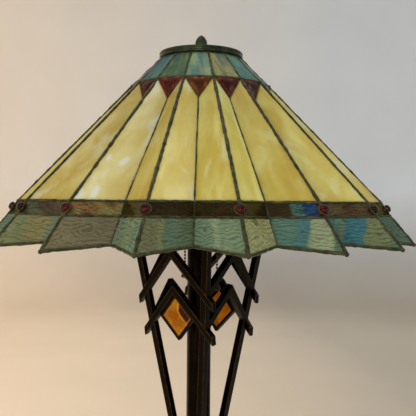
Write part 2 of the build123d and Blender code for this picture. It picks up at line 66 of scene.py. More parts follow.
def lattice(ix, iy, iz, seed):
    m = np.uint64(0xFFFFFFFF)
    n = (ix.astype(np.uint64) * np.uint64(374761393) + iy.astype(np.uint64) * np.uint64(668265263)
         + iz.astype(np.uint64) * np.uint64(2246822519) + np.uint64(seed * 3266489917 % 4294967296)) & m
    n = ((n ^ (n >> np.uint64(13))) * np.uint64(1274126177)) & m
    n = ((n ^ (n >> np.uint64(15))) * np.uint64(2246822519)) & m
    n = n ^ (n >> np.uint64(16))
    return (n & np.uint64(0xFFFFFF)).astype(float) / float(0xFFFFFF)


def noise(p, seed=0):
    """Smooth value noise from -1 to 1 at the rows of p."""
    p = np.asarray(p, float)
    q = np.floor(p)
    f = p - q
    f = f * f * f * (f * (f * 6 - 15) + 10)
    q = (q + 40000).astype(np.int64)
    out = 0.0
    for dx in (0, 1):
        for dy in (0, 1):
            for dz in (0, 1):
                w = (f[:, 0] if dx else 1 - f[:, 0]) * (f[:, 1] if dy else 1 - f[:, 1]) * (f[:, 2] if dz else 1 - f[:, 2])
                out = out + w * lattice(q[:, 0] + dx, q[:, 1] + dy, q[:, 2] + dz, seed)
    return out * 2 - 1


def fbm(p, octaves=3, seed=0, gain=0.5):
    out, amp, tot = 0.0, 1.0, 0.0
    p = np.asarray(p, float)
    for k in range(octaves):
        out = out + amp * noise(p * 2 ** k + 17.3 * k, seed + 31 * k)
        tot += amp
        amp *= gain
    return out / tot


def smooth(x, a, b):
    t = np.clip((x - a) / (b - a), 0, 1)
    return t * t * (3 - 2 * t)


def lin(c):
    """8-bit display colour to linear."""
    c = np.asarray(c, float) / 255
    return np.where(c <= 0.04045, c / 12.92, ((c + 0.055) / 1.055) ** 2.4)


def mixv(a, b, w):
    w = np.asarray(w)[:, None]
    return np.asarray(a) * (1 - w) + np.asarray(b) * w


# ------------------------------------------------------------------ mesh building
class Build:
    """Collects closed shells in millimetres and makes one object of them."""

    def __init__(self):
        self.v, self.q, self.t, self.c, self.n = [], [], [], [], 0

    def add(self, verts, quads=None, tris=None, col=None):
        verts = np.asarray(verts, float).reshape(-1, 3)
        if quads is not None and len(quads):
            self.q.append(np.asarray(quads, int) + self.n)
        if tris is not None and len(tris):
            self.t.append(np.asarray(tris, int) + self.n)
        self.v.append(verts)
        self.c.append(np.ones((len(verts), 3)) if col is None else np.asarray(col, float).reshape(-1, 3))
        self.n += len(verts)

    def make(self, name, body, slot, mat, replaces=(), sharp=40, fix=True):
        v = np.concatenate(self.v) * 0.001
        faces = []
        if self.q:
            faces += np.concatenate(self.q).tolist()
        if self.t:
            faces += np.concatenate(self.t).tolist()
        me = bpy.data.meshes.new(name)
        me.from_pydata(v.tolist(), [], faces)
        me.validate()
        if len(me.vertices) == len(v):
            at = me.color_attributes.new("tint", "FLOAT_COLOR", "POINT")
            c = np.concatenate(self.c)
            c = np.concatenate([c, np.ones((len(c), 1))], axis=1)
            at.data.foreach_set("color", c.astype(np.float32).ravel())
        if fix:
            bm = bmesh.new()
            bm.from_mesh(me)
            bmesh.ops.recalc_face_normals(bm, faces=bm.faces)
            bm.to_mesh(me)
            bm.free()
        me.shade_smooth()
        if sharp:
            me.set_sharp_from_angle(angle=math.radians(sharp))
        return place(me, name, body, mat, replaces)


def place(me, name, body, mat, replaces=()):
    o = bpy.data.objects.new(name, me)
    bpy.context.scene.collection.objects.link(o)
    me.materials.clear()
    me.materials.append(mat)
    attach(o, body)
    if replaces:
        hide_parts(*replaces)
    return o


def grid_quads(nv, nu, off=0, flip=False):
    """Quads of a (nv+1) x (nu+1) grid of vertices."""
    i, j = np.meshgrid(np.arange(nv), np.arange(nu), indexing="ij")
    a = off + i * (nu + 1) + j
    q = np.stack([a, a + 1, a + nu + 2, a + nu + 1], -1).reshape(-1, 4)
    return q[:, ::-1] if flip else q


def slab_faces(nv, nu):
    """Front grid, back grid and the rim between them."""
    n1 = (nv + 1) * (nu + 1)
    q = [grid_quads(nv, nu), grid_quads(nv, nu, n1, True)]
    ring = [(0, j) for j in range(nu)] + [(i, nu) for i in range(nv)] + [(nv, j) for j in range(nu, 0, -1)] + [(i, 0) for i in range(nv, 0, -1)]
    idx = np.array([i * (nu + 1) + j for i, j in ring])
    nxt = np.roll(idx, -1)
    q.append(np.stack([idx, idx + n1, nxt + n1, nxt], -1))
    return np.concatenate(q)


def inset_poly(points, insets, n):
    """Corners of a flat convex polygon after edge i to i+1 is drawn in by insets[i]."""
    u = unit(points[1] - points[0])
    v = np.cross(n, u)
    o = points[0]
    q = [((p - o) @ u, (p - o) @ v) for p in points]
    cx = sum(a for a, _ in q) / len(q)
    cy = sum(b for _, b in q) / len(q)
    lines = []
    for i in range(len(q)):
        x0, y0 = q[i]
        x1, y1 = q[(i + 1) % len(q)]
        dx, dy = x1 - x0, y1 - y0
        ln = math.hypot(dx, dy)
        nx, ny = -dy / ln, dx / ln
        if nx * (cx - x0) + ny * (cy - y0) < 0:
            nx, ny = -nx, -ny
        lines.append((nx, ny, nx * x0 + ny * y0 + insets[i]))
    pts = []
    for i in range(len(q)):
        a, b = lines[i - 1], lines[i]
        det = a[0] * b[1] - a[1] * b[0]
        x = (a[2] * b[1] - a[1] * b[2]) / det
        y = (a[0] * b[2] - a[2] * b[0]) / det
        pts.append(o + u * x + v * y)
    return pts


def out_normal(points):
    n = unit(np.cross(points[1] - points[0], points[2] - points[0]))
    c = sum(points) / len(points)
    out = unit(np.array([c[0], c[1], 0])) + np.array([0, 0, 0.7])
    return n if n @ out > 0 else -n


def quad_slab(points, front, back, t, du, dv, relief, colour, relief_back=None):
    """Pane over four corners a-b-c-d: u runs a to b, v runs a to d. Returns verts, quads and colours."""
    n = out_normal(points)
    f = inset_poly(points, front, n)
    b = inset_poly(points, back, n)
    wide = max(np.linalg.norm(f[1] - f[0]), np.linalg.norm(f[2] - f[3]))
    tall = max(np.linalg.norm(f[3] - f[0]), np.linalg.norm(f[2] - f[1]))
    nu, nv = max(4, int(round(wide / du))), max(4, int(round(tall / dv)))
    v, u = np.meshgrid(np.linspace(0, 1, nv + 1), np.linspace(0, 1, nu + 1), indexing="ij")
    v, u = v.ravel()[:, None], u.ravel()[:, None]

    def bil(c):
        return (c[0] * (1 - u) + c[1] * u) * (1 - v) + (c[3] * (1 - u) + c[2] * u) * v
    F, B = bil(f), bil(b)
    # local coordinates: x along a-b (or d-c), y down the pane
    ydir = unit((f[3] + f[2]) / 2 - (f[0] + f[1]) / 2)
    xdir = unit(np.cross(ydir, n))
    o = (f[0] + f[1]) / 2
    x, y = (F - o) @ xdir, (F - o) @ ydir
    edge = np.minimum(np.minimum(u[:, 0], 1 - u[:, 0]) * wide, np.minimum(v[:, 0], 1 - v[:, 0]) * tall)
    h = relief(x, y, edge)
    col = colour(x, y, edge, u[:, 0], v[:, 0])
    hb = relief_back(x, y, edge) if relief_back else 0 * x
    verts = np.concatenate([F + n * h[:, None], B - n * (t + hb)[:, None]])
    return verts, slab_faces(nv, nu), np.concatenate([col, col])


def tri_slab(a, b, c, insets, t, div, relief, colour):
    """Pane over three corners."""
    pts = [a, b, c]
    n = out_normal(pts)
    f = inset_poly(pts, insets, n)
    rows, idx, k = [], {}, 0
    for i in range(div + 1):
        for j in range(div + 1 - i):
            w = (1 - (i + j) / div, j / div, i / div)
            rows.append(w)
            idx[(i, j)] = k
            k += 1
    w = np.array(rows)
    F = w @ np.array(f)
    height = [2 * (np.linalg.norm(np.cross(f[1] - f[0], f[2] - f[0])) / 2) / np.linalg.norm(f[(i + 2) % 3] - f[(i + 1) % 3]) for i in range(3)]
    d = w * np.array(height)[None, :]
    xdir = unit(f[1] - f[0])
    ydir = np.cross(n, xdir)
    x, y = (F - f[0]) @ xdir, (F - f[0]) @ ydir
    h = relief(x, y, d)
    col = colour(x, y, d)
    tris = []
    for i in range(div):
        for j in range(div - i):
            tris.append((idx[(i, j)], idx[(i, j + 1)], idx[(i + 1, j)]))
            if j < div - i - 1:
                tris.append((idx[(i, j + 1)], idx[(i + 1, j + 1)], idx[(i + 1, j)]))
    tris = np.array(tris)
    m = len(F)
    ring = [idx[(0, j)] for j in range(div)] + [idx[(i, div - i)] for i in range(div)] + [idx[(i, 0)] for i in range(div, 0, -1)]
    ring = np.array(ring)
    nxt = np.roll(ring, -1)
    rim = np.stack([ring, ring + m, nxt + m, nxt], -1)
    verts = np.concatenate([F + n * h[:, None], F - n * t])
    return verts, rim, np.concatenate([tris, tris[:, ::-1] + m]), np.concatenate([col, col])


def tube(B, path, radius, seed, seg=10, step=1.4, rough=0.13, wander=0.12, squash=1.0, up=None, grow=None, col=None):
    """Hand-run solder bead along a polyline: a lumpy closed tube. squash flattens it along up."""
    path = [np.asarray(p, float) for p in path]
    pts, tan = [], []
    for a, b in zip(path[:-1], path[1:]):
        L = np.linalg.norm(b - a)
        k = max(2, int(round(L / step)))
        for i in range(k):
            pts.append(a + (b - a) * i / k)
            tan.append(unit(b - a))
    pts.append(path[-1])
    tan.append(unit(path[-1] - path[-2]))
    pts, tan = np.array(pts), np.array(tan)
    # smooth the direction over corners
    for _ in range(3):
        tan[1:-1] = tan[:-2] + 2 * tan[1:-1] + tan[2:]
        tan /= np.linalg.norm(tan, axis=1)[:, None]
    m = len(pts)
    s = np.concatenate([[0], np.cumsum(np.linalg.norm(np.diff(pts, axis=0), axis=1))])
    key = np.stack([s / 5.5, np.full(m, seed * 7.31), np.zeros(m)], 1)
    r = radius * (1 + rough * 1.5 * noise(key, 3) + rough * noise(key * 2.7 + 5, 9))
    if grow is not None:
        r = r * grow(s / s[-1], s)
    up = np.array([0, 0, 1.0]) if up is None else np.asarray(up, float)
    side = np.cross(tan, up)
    side /= np.linalg.norm(side, axis=1)[:, None]
    nrm = np.cross(side, tan)
    pts = pts + side * (wander * radius * noise(key * 1.3 + 40, 21))[:, None]
    # round ends
    ends = [(-0.9, 0.45), (-0.55, 0.85), (0.0, 1.0)]
    P0 = [pts[0] + tan[0] * e * r[0] * 0.9 for e, _ in ends[:2]]
    P1 = [pts[-1] - tan[-1] * e * r[-1] * 0.9 for e, _ in ends[:2]][::-1]
    R0 = [r[0] * w for _, w in ends[:2]]
    R1 = [r[-1] * w for _, w in ends[:2]][::-1]
    C = np.concatenate([np.array(P0), pts, np.array(P1)])
    R = np.concatenate([R0, r, R1])
    S = np.concatenate([[side[0]] * 2, side, [side[-1]] * 2])
    Nn = np.concatenate([[nrm[0]] * 2, nrm, [nrm[-1]] * 2])
    th = np.arange(seg) * 2 * math.pi / seg
    k2 = np.concatenate([key[:1], key[:1], key, key[-1:], key[-1:]])
    ang = np.tile(th, (len(C), 1))
    kk = np.stack([np.repeat(k2[:, 0:1], seg, 1) * 1.6, np.cos(ang) * 0.9 + seed * 3.1, np.sin(ang) * 0.9], -1).reshape(-1, 3)
    lump = 1 + rough * 0.9 * noise(kk, 55).reshape(len(C), seg)
    V = C[:, None, :] + (S[:, None, :] * np.cos(ang)[..., None] + Nn[:, None, :] * (np.sin(ang) * squash)[..., None]) * (R[:, None] * lump)[..., None]
    V = V.reshape(-1, 3)
    n = len(C)
    i, j = np.meshgrid(np.arange(n - 1), np.arange(seg), indexing="ij")
    a = i * seg + j
    b = i * seg + (j + 1) % seg
    quads = np.stack([a, b, b + seg, a + seg], -1).reshape(-1, 4)
    p0 = C[0] - S[0] * 0 - tan[0] * r[0] * 0.12
    p1 = C[-1] + tan[-1] * r[-1] * 0.12
    V = np.concatenate([V, [p0], [p1]])
    t0 = [(len(V) - 2, (k + 1) % seg, k) for k in range(seg)]
    last = (n - 1) * seg
    t1 = [(len(V) - 1, last + k, last + (k + 1) % seg) for k in range(seg)]
    B.add(V, quads, np.array(t0 + t1), col=None if col is None else np.tile(col, (len(V), 1)))


def blob(B, c, r, seed, flat=(1, 1, 1), axes=None, rings=7, seg=12, rough=0.08):
    """Rounded lump of solder, as a closed ball pushed about by noise."""
    ax = np.eye(3) if axes is None else np.array(axes)
    ph = np.linspace(0, math.pi, rings + 1)[1:-1]
    th = np.arange(seg) * 2 * math.pi / seg
    pp, tt = np.meshgrid(ph, th, indexing="ij")
    d = np.stack([np.sin(pp) * np.cos(tt), np.sin(pp) * np.sin(tt), np.cos(pp)], -1).reshape(-1, 3)
    d = np.concatenate([d, [[0, 0, 1]], [[0, 0, -1]]])
    k = 1 + rough * noise(d * 1.7 + seed * 3.7, 5)
    V = c + (d * np.array(flat) * r * k[:, None]) @ ax
    m = len(ph)
    i, j = np.meshgrid(np.arange(m - 1), np.arange(seg), indexing="ij")
    a, b = i * seg + j, i * seg + (j + 1) % seg
    q = np.stack([a, b, b + seg, a + seg], -1).reshape(-1, 4)
    top = [(len(V) - 2, (k + 1) % seg, k) for k in range(seg)]
    low = [(len(V) - 1, (m - 1) * seg + k, (m - 1) * seg + (k + 1) % seg) for k in range(seg)]
    B.add(V, q, np.array(top + low))


def soften(profile, r=0.35, n=3):
    """Profile with its corners eased by a small arc."""
    pts = [np.array(p, float) for p in profile]
    out = [pts[0]]
    for a, b, c in zip(pts[:-2], pts[1:-1], pts[2:]):
        ab, bc = b - a, c - b
        la, lb = np.linalg.norm(ab), np.linalg.norm(bc)
        if la < 1e-6 or lb < 1e-6:
            out.append(b)
            continue
        turn = abs((ab[0] * bc[1] - ab[1] * bc[0]) / (la * lb))
        if turn < 0.3 and ab @ bc > 0:
            out.append(b)
            continue
        e = min(r, la * 0.45, lb * 0.45)
        p, q = b - ab / la * e, b + bc / lb * e
        for i in range(n + 1):
            t = i / n
            out.append(p * (1 - t) ** 2 + b * 2 * t * (1 - t) + q * t * t)
    out.append(pts[-1])
    return out


def lathe(B, profile, seg=64, centre=(0, 0), ease=0.35, closed=True, bump=None):
    """Turned piece about the vertical through centre from (radius, z) pairs. The profile ends on the axis, or closes on itself."""
    prof = [tuple(p) for p in profile]
    if prof[0][0] > 1e-6 and closed:
        k = len(prof)
        ring_prof = [np.array(p, float) for p in prof]
        # ease every corner of the closed section
        ext = [ring_prof[-1]] + ring_prof + [ring_prof[0]]
        prof = soften(ext, ease)[1:-1]
        wrap = True
    else:
        prof = soften([np.array(p, float) for p in prof], ease)
        wrap = False
    prof = [np.array(p) for p in prof]
    th = np.arange(seg) * 2 * math.pi / seg
    V, index = [], []
    for r, z in prof:
        if r < 1e-6:
            index.append([len(V)] * seg)
            V.append((centre[0], centre[1], z))
        else:
            index.append(list(range(len(V), len(V) + seg)))
            rr = np.full(seg, r) if bump is None else r + bump(r, z, th)
            V += [(centre[0] + a * math.cos(t), centre[1] + a * math.sin(t), z) for a, t in zip(rr, th)]
    quads, tris = [], []
    pairs = list(zip(index[:-1], index[1:])) + ([(index[-1], index[0])] if wrap else [])
    for a, b in pairs:
        for k in range(seg):
            k2 = (k + 1) % seg
            if a[0] == a[1] and b[0] == b[1]:
                continue
            if a[0] == a[1]:
                tris.append((a[0], b[k2], b[k]))
            elif b[0] == b[1]:
                tris.append((a[k], a[k2], b[0]))
            else:
                quads.append((a[k], a[k2], b[k2], b[k]))
    B.add(np.array(V), np.array(quads) if quads else None, np.array(tris) if tris else None)


def bevel_copy(name, node, body, mat, width=0.6, segments=2, angle=28, more=()):
    """The CAD node's own shape with its sharp edges broken."""
    bm = bmesh.new()
    for nd in (node,) + tuple(more):
        src = nodes[nd].data
        vs = [bm.verts.new(v.co) for v in src.vertices]
        for p in src.polygons:
            try:
                bm.faces.new([vs[i] for i in p.vertices])
            except ValueError:
                pass
    bmesh.ops.remove_doubles(bm, verts=bm.verts, dist=1e-5)
    bmesh.ops.dissolve_limit(bm, angle_limit=math.radians(0.6), verts=bm.verts, edges=bm.edges)
    bm.edges.ensure_lookup_table()
    sharp = [e for e in bm.edges if len(e.link_faces) == 2 and e.calc_face_angle(0) > math.radians(angle)]
    bmesh.ops.bevel(bm, geom=sharp, offset=width * 0.001, offset_type="OFFSET", segments=segments, profile=0.5, affect="EDGES", clamp_overlap=True)
    # bevel strips are marked so the material lightens them: rubbed wear plus painted highlight along the edges
    edge_wear_highlight_mask = bm.loops.layers.float_color.new("edge_wear_highlight_mask")
    for f in bm.faces:
        strip = f.calc_area() / max(ed.calc_length() for ed in f.edges) < width * 0.0008
        for lp in f.loops:
            lp[edge_wear_highlight_mask] = (1.0, 1.0, 1.0, 1.0) if strip else (0.0, 0.0, 0.0, 1.0)
    bmesh.ops.triangulate(bm, faces=[f for f in bm.faces if len(f.verts) > 4])
    bmesh.ops.recalc_face_normals(bm, faces=bm.faces)
    me = bpy.data.meshes.new(name)
    bm.to_mesh(me)
    bm.free()
    me.shade_smooth()
    me.set_sharp_from_angle(angle=math.radians(50))
    o = place(me, name, body, mat, (node,) + tuple(more))
    wn = o.modifiers.new("weighted", "WEIGHTED_NORMAL")
    wn.keep_sharp = True
    wn.weight = 80
    return o


# ------------------------------------------------------------------ materials
class Graph:
    def __init__(self, name):
        self.m = bpy.data.materials.new(name)
        self.m.use_nodes = True
        self.t = self.m.node_tree
        self.t.nodes.clear()
        self.out = self.t.nodes.new("ShaderNodeOutputMaterial")
        self.tc = self.t.nodes.new("ShaderNodeTexCoord")

    def put(self, socket, v):
        if isinstance(v, bpy.types.NodeSocket):
            self.t.links.new(v, socket)
        elif isinstance(v, (tuple, list, np.ndarray)) and len(v) == 3 and socket.type == "RGBA":
            socket.default_value = (float(v[0]), float(v[1]), float(v[2]), 1)
        else:
            socket.default_value = v

    def node(self, kind, props=None, **ins):
        n = self.t.nodes.new(kind)
        for k, v in (props or {}).items():
            setattr(n, k, v)
        for k, v in ins.items():
            self.put(n.inputs[k.replace("_", " ")], v)
        return n

    def coords(self, scale=(1, 1, 1), rot=(0, 0, 0)):
        n = self.node("ShaderNodeMapping")
        self.put(n.inputs["Vector"], self.tc.outputs["Object"])
        n.inputs["Scale"].default_value = scale
        n.inputs["Rotation"].default_value = rot
        return n.outputs["Vector"]

    def noise(self, scale, detail=3.0, rough=0.5, vec=None, distortion=0.0):
        n = self.node("ShaderNodeTexNoise", Scale=scale, Detail=detail, Roughness=rough, Distortion=distortion)
        self.put(n.inputs["Vector"], vec if vec is not None else self.tc.outputs["Object"])
        return n.outputs["Fac"]

    def ramp(self, fac, stops, interp="LINEAR"):
        n = self.node("ShaderNodeValToRGB", Fac=fac)
        n.color_ramp.interpolation = interp
        els = n.color_ramp.elements
        while len(els) < len(stops):
            els.new(0.5)
        for e, (p, c) in zip(els, stops):
            e.position = p
            e.color = (*(c if hasattr(c, "__len__") else (c, c, c)), 1)
        return n.outputs["Color"]

    def mix(self, a, b, fac, mode="MIX"):
        n = self.t.nodes.new("ShaderNodeMix")
        n.data_type = "RGBA"
        n.blend_type = mode
        self.put(n.inputs[0], fac)
        self.put(n.inputs[6], a)
        self.put(n.inputs[7], b)
        return n.outputs[2]

    def range(self, v, a, b, c, d):
        n = self.node("ShaderNodeMapRange")
        self.put(n.inputs["Value"], v)
        for k, x in zip(("From Min", "From Max", "To Min", "To Max"), (a, b, c, d)):
            n.inputs[k].default_value = x
        return n.outputs["Result"]

    def math(self, op, a, b=0.0):
        n = self.t.nodes.new("ShaderNodeMath")
        n.operation = op
        self.put(n.inputs[0], a)
        self.put(n.inputs[1], b)
        return n.outputs[0]

    def bump(self, height, strength=0.3, distance=0.0002):
        n = self.node("ShaderNodeBump", Strength=strength, Distance=distance, Height=height)
        return n.outputs["Normal"]

    def attr(self, name="tint"):
        n = self.t.nodes.new("ShaderNodeAttribute")
        n.attribute_name = name
        return n.outputs["Color"]

    def principled(self, **ins):
        n = self.node("ShaderNodeBsdfPrincipled", **ins)
        return n

    def finish(self, shader):
        self.t.links.new(shader, self.out.inputs["Surface"])
        return self.m


def opal_glass(name, fine, rough=(0.18, 0.34), thru=0.25, coat=0.35, spec=0.5, mottle=0.25, bump=0.15, thru_gain=1.0, ior=1.5):
    """Opalescent sheet glass: body colour from the sheet's own streaks, a satin-to-glossy skin, and light passing through."""
    g = Graph(name)
    base = g.attr()
    n1 = g.noise(fine, 4, 0.55)
    n2 = g.noise(fine * 4.3, 3, 0.6)
    v = g.ramp(n1, [(0.25, 1 - mottle), (0.75, 1 + mottle * 0.6)])
    c = g.mix(base, v, 1.0, "MULTIPLY")
    c = g.mix(c, g.ramp(n2, [(0.3, 1 - mottle * 0.4), (0.7, 1 + mottle * 0.3)]), 1.0, "MULTIPLY")
    r = g.range(n2, 0.3, 0.7, rough[0], rough[1])
    nm = g.bump(g.noise(fine * 2.2, 3, 0.5), bump, 0.0003)
    p = g.principled(Base_Color=c, Roughness=r, Coat_Weight=coat, Coat_Roughness=0.06, Specular_IOR_Level=spec, IOR=ior, Normal=nm)
    t = g.node("ShaderNodeBsdfTranslucent", Normal=nm)
    g.put(t.inputs["Color"], g.mix(c, (thru_gain,) * 3, 1.0, "MULTIPLY"))
    m = g.node("ShaderNodeMixShader", Fac=thru)
    g.t.links.new(p.outputs[0], m.inputs[1])
    g.t.links.new(t.outputs[0], m.inputs[2])
    return g.finish(m.outputs[0])


def metal(name, low, high, metallic=0.85, rough=(0.28, 0.5), scale=90, streak=(1, 1, 1), spots=None, bump=0.12, fine=900, coat=0.0, spec=0.5, edge_wear_highlight_tint=None):
    """Patinated metal: two tones clouded into each other, broken by finer speckle, with uneven sheen."""
    g = Graph(name)
    vec = g.coords(streak)
    n1 = g.noise(scale, 5, 0.6, vec)
    n2 = g.noise(scale * 6.5, 4, 0.6, vec)
    n3 = g.noise(fine, 3, 0.6, vec)
    c = g.mix(low, high, g.ramp(n1, [(0.34, 0.0), (0.66, 1.0)]))
    c = g.mix(c, g.ramp(n2, [(0.3, 0.72), (0.7, 1.22)]), 1.0, "MULTIPLY")
    if spots is not None:
        w = g.ramp(n2, [(spots[1], 0.0), (min(1.0, spots[1] + 0.08), 1.0)])
        c = g.mix(c, spots[0], w)
    # bevel strips lightened: edge wear plus painted highlight
    if edge_wear_highlight_tint is not None:
        c = g.mix(c, edge_wear_highlight_tint, g.math("MULTIPLY", g.attr("edge_wear_highlight_mask"), g.range(n2, 0.35, 0.65, 0.2, 0.9)))
    r = g.range(n2, 0.25, 0.75, rough[0], rough[1])
    nm = g.bump(g.math("ADD", n3, g.math("MULTIPLY", n2, 0.7)), bump, 0.00025)
    p = g.principled(Base_Color=c, Metallic=metallic, Roughness=r, Normal=nm, Coat_Weight=coat, Coat_Roughness=0.2, Specular_IOR_Level=spec)
    return g.finish(p.outputs[0])


def plastic(name, low, high, rough=(0.4, 0.6), scale=120, bump=0.1, coat=0.0, sub=0.0, fine=1500):
    g = Graph(name)
    n1 = g.noise(scale, 4, 0.55)
    c = g.mix(low, high, g.ramp(n1, [(0.3, 0.0), (0.7, 1.0)]))
    p = g.principled(Base_Color=c, Roughness=g.range(n1, 0.3, 0.7, rough[0], rough[1]), Normal=g.bump(g.noise(fine, 3, 0.6), bump, 0.0002), Coat_Weight=coat)
    return g.finish(p.outputs[0])


M = {}
M["crown"] = opal_glass("crown_sheet_glass", 260, rough=(0.24, 0.4), thru=0.22, coat=0.04, spec=0.16, mottle=0.22)
M["ruby"] = opal_glass("ruby_pressed_glass", 300, rough=(0.10, 0.22), thru=0.12, coat=0.12, spec=0.25, mottle=0.35, bump=0.25)
M["amber"] = opal_glass("amber_opalescent_glass", 150, rough=(0.26, 0.42), thru=0.3, coat=0.08, spec=0.35, mottle=0.05, bump=0.10)
M["band"] = opal_glass("wine_ripple_glass", 420, rough=(0.16, 0.32), thru=0.15, coat=0.06, spec=0.15, mottle=0.3, bump=0.2)
M["skirt"] = opal_glass("water_ripple_glass", 330, rough=(0.14, 0.30), thru=0.2, coat=0.2, spec=0.4, mottle=0.18, bump=0.12)
M["jewel"] = opal_glass("jewel_pressed_glass", 160, rough=(0.04, 0.09), thru=0.10, coat=0.16, spec=0.18, mottle=0.15, bump=0.02)
M["diamond"] = opal_glass("amber_square_glass", 260, rough=(0.10, 0.22), thru=0.6, coat=0.10, spec=0.2, mottle=0.2, bump=0.3)
# the bright spots in the solder are painted glints on its lumps
M["solder"] = metal("patina_solder", (0.014, 0.020, 0.008), (0.066, 0.066, 0.030), metallic=0.65, rough=(0.22, 0.44), scale=150, spots=((0.30, 0.29, 0.19), 0.64), bump=0.35, fine=1400, spec=0.3)
M["brass"] = metal("turned_brass", (0.55, 0.36, 0.12), (0.66, 0.46, 0.18), metallic=1.0, rough=(0.22, 0.4), scale=120)
M["cap"] = metal("cap_bronze", (0.010, 0.022, 0.014), (0.040, 0.052, 0.027), metallic=0.8, rough=(0.24, 0.40), scale=60, bump=0.12, spec=0.3)
M["bronze"] = metal("dark_bronze", (0.0020, 0.0013, 0.0006), (0.0068, 0.0043, 0.0017), metallic=0.92, rough=(0.28, 0.44), scale=45, spots=((0.060, 0.042, 0.020), 0.70), bump=0.14, spec=0.2, edge_wear_highlight_tint=(0.060, 0.040, 0.019))
M["zinc"] = metal("zinc_steel", (0.42, 0.42, 0.40), (0.56, 0.56, 0.54), metallic=1.0, rough=(0.3, 0.5), scale=90)
M["aged"] = metal("aged_brass", (0.060, 0.038, 0.016), (0.13, 0.085, 0.035), metallic=0.95, rough=(0.26, 0.44), scale=130, spots=((0.03, 0.02, 0.01), 0.68))
M["black"] = plastic("black_phenolic", (0.012, 0.011, 0.010), (0.022, 0.020, 0.018))
M["iron"] = metal("cast_iron", (0.035, 0.033, 0.031), (0.07, 0.066, 0.06), metallic=0.5, rough=(0.55, 0.8), scale=150, bump=0.5, fine=700)
M["board"] = plastic("grey_board", (0.22, 0.18, 0.13), (0.30, 0.25, 0.19), rough=(0.75, 0.9), scale=240, bump=0.3, fine=2600)
M["felt"] = plastic("green_felt", (0.018, 0.055, 0.028), (0.030, 0.085, 0.042), rough=(0.9, 1.0), scale=500, bump=0.8, fine=3500)


def frosted():
    g = Graph("frosted_bulb_glass")
    n = g.noise(90, 3, 0.5)
    c = g.mix((0.80, 0.80, 0.77), (0.88, 0.87, 0.84), g.ramp(n, [(0.3, 0.0), (0.7, 1.0)]))
    p = g.principled(Base_Color=c, Roughness=g.range(n, 0.3, 0.7, 0.3, 0.42), Normal=g.bump(g.noise(2600, 2, 0.5), 0.06, 0.0001))
    t = g.node("ShaderNodeBsdfTranslucent")
    g.put(t.inputs["Color"], c)
    m = g.node("ShaderNodeMixShader", Fac=0.3)
    g.t.links.new(p.outputs[0], m.inputs[1])
    g.t.links.new(t.outputs[0], m.inputs[2])
    return g.finish(m.outputs[0])


M["frosted"] = frosted()

# ------------------------------------------------------------------ shade skin
A_top, A_knee = P(46.0, ZJ + 161.5, 0), P(76.0, ZJ + 131.5, 0)
A_bt, A_bb, A_tip = P(195.3, ZJ + 6.5, 0), P(204.3, ZJ - 6.5, 0), P(229.3, ZJ - 36.1, 0)


def valley_at(a, b, c, z):
    n = np.cross(b - a, c - a)
    t = math.radians(H)
    k = n[0] * math.sin(t) - n[1] * math.cos(t)
    return P((n @ a - n[2] * z) / k, z, H)


V_bt = P(161.4, ZJ + 6.1, H)
V_apex = valley_at(A_knee, A_bt, V_bt, ZJ + 108.6)
V_bb = valley_at(A_bt, A_bb, V_bt, ZJ - 7.5)
V_edge = valley_at(A_bb, A_tip, V_bb, ZJ - 31.3)
B_top, B_knee = P(46.0, ZJ + 161.5, STEP_A), P(76.0, ZJ + 131.5, STEP_A)


def flip(p):
    return np.array([-p[0], p[1], p[2]])


rng = np.random.default_rng(4176)

# colours of the pieces in view, each set to the tone that piece shows in place, so besides the sheet colour they hold
# painted light and shade. Rib 0 is the one just right of the front; the ribs run anticlockwise seen from above.
CROWN = {13: (44, 77, 82), 14: (57, 79, 56), 15: (84, 105, 86), 0: (92, 97, 71), 1: (59, 91, 84), 2: (82, 94, 86)}
CROWN_POOL = [(57, 76, 73), (59, 82, 65), (76, 100, 83), (87, 94, 68), (57, 85, 81), (73, 87, 63)]
AMBER_POOL = [(165, 154, 84), (170, 161, 102), (158, 144, 73), (168, 156, 91)]
AMBER = {(13, -1): (175, 153, 69), (13, 1): (160, 147, 82), (14, -1): (110, 112, 51), (14, 1): (177, 171, 119), (15, -1): (160, 147, 74), (15, 1): (183, 171, 101), (0, -1): (163, 155, 80), (0, 1): (189, 183, 106), (1, -1): (154, 142, 64), (1, 1): (172, 162, 88), (2, -1): (165, 154, 80), (2, 1): (116, 105, 49)}
BAND_POOL = [(51, 48, 14), (44, 40, 12), (56, 55, 18), (40, 40, 14)]
BAND = {(13, 1): (64, 72, 52), (14, -1): (46, 37, 20), (14, 1): (97, 92, 53), (15, -1): (33, 31, 3), (15, 1): (35, 25, 2), (0, -1): (30, 24, 1), (0, 1): (34, 28, 9), (1, -1): (36, 27, 6), (1, 1): (48, 35, 20), (2, -1): (63, 54, 32)}
SKIRT_POOL = [(96, 105, 75), (100, 97, 65), (85, 101, 82), (109, 103, 72), (91, 99, 69)]
SKIRT = {(13, 1): (97, 95, 63), (14, -1): (100, 104, 74), (14, 1): (90, 85, 60), (15, -1): (91, 112, 95), (15, 1): (85, 90, 55), (0, -1): (90, 109, 83), (0, 1): (131, 131, 90), (1, -1): (75, 100, 87), (1, 1): (84, 112, 102), (2, -1): (69, 91, 77), (2, 1): (137, 86, 38)}


def pick(table, pool, key, seed):
    if key in table:
        return lin(table[key])
    r = np.random.default_rng(seed)
    a, b = r.choice(len(pool), 2, replace=False)
    w = r.uniform(0, 0.6)
    return lin(pool[a]) * (1 - w) + lin(pool[b]) * w


def k3(x, y, s, sx=1.0, sy=1.0):
    return np.stack([x * sx, y * sy, np.full(len(x), s * 13.7)], 1)


GAINS = {"amber": 1.0, "crown": 1.0, "skirt": 1.0, "band": 1.0, "ruby": 1.0}
STAIN_AND_SHADE_TINT = np.array([0.50, 0.42, 0.30])      # brown flux stain plus painted shade that gather on the glass beside the solder


def stain_and_shade(c, e, reach, depth):
    # glass darkened near its edges: part flux stain, part painted shade beside the solder
    w = (1 - smooth(e, 0.2, reach)) * depth
    return c * (1 - w[:, None] * (1 - STAIN_AND_SHADE_TINT))


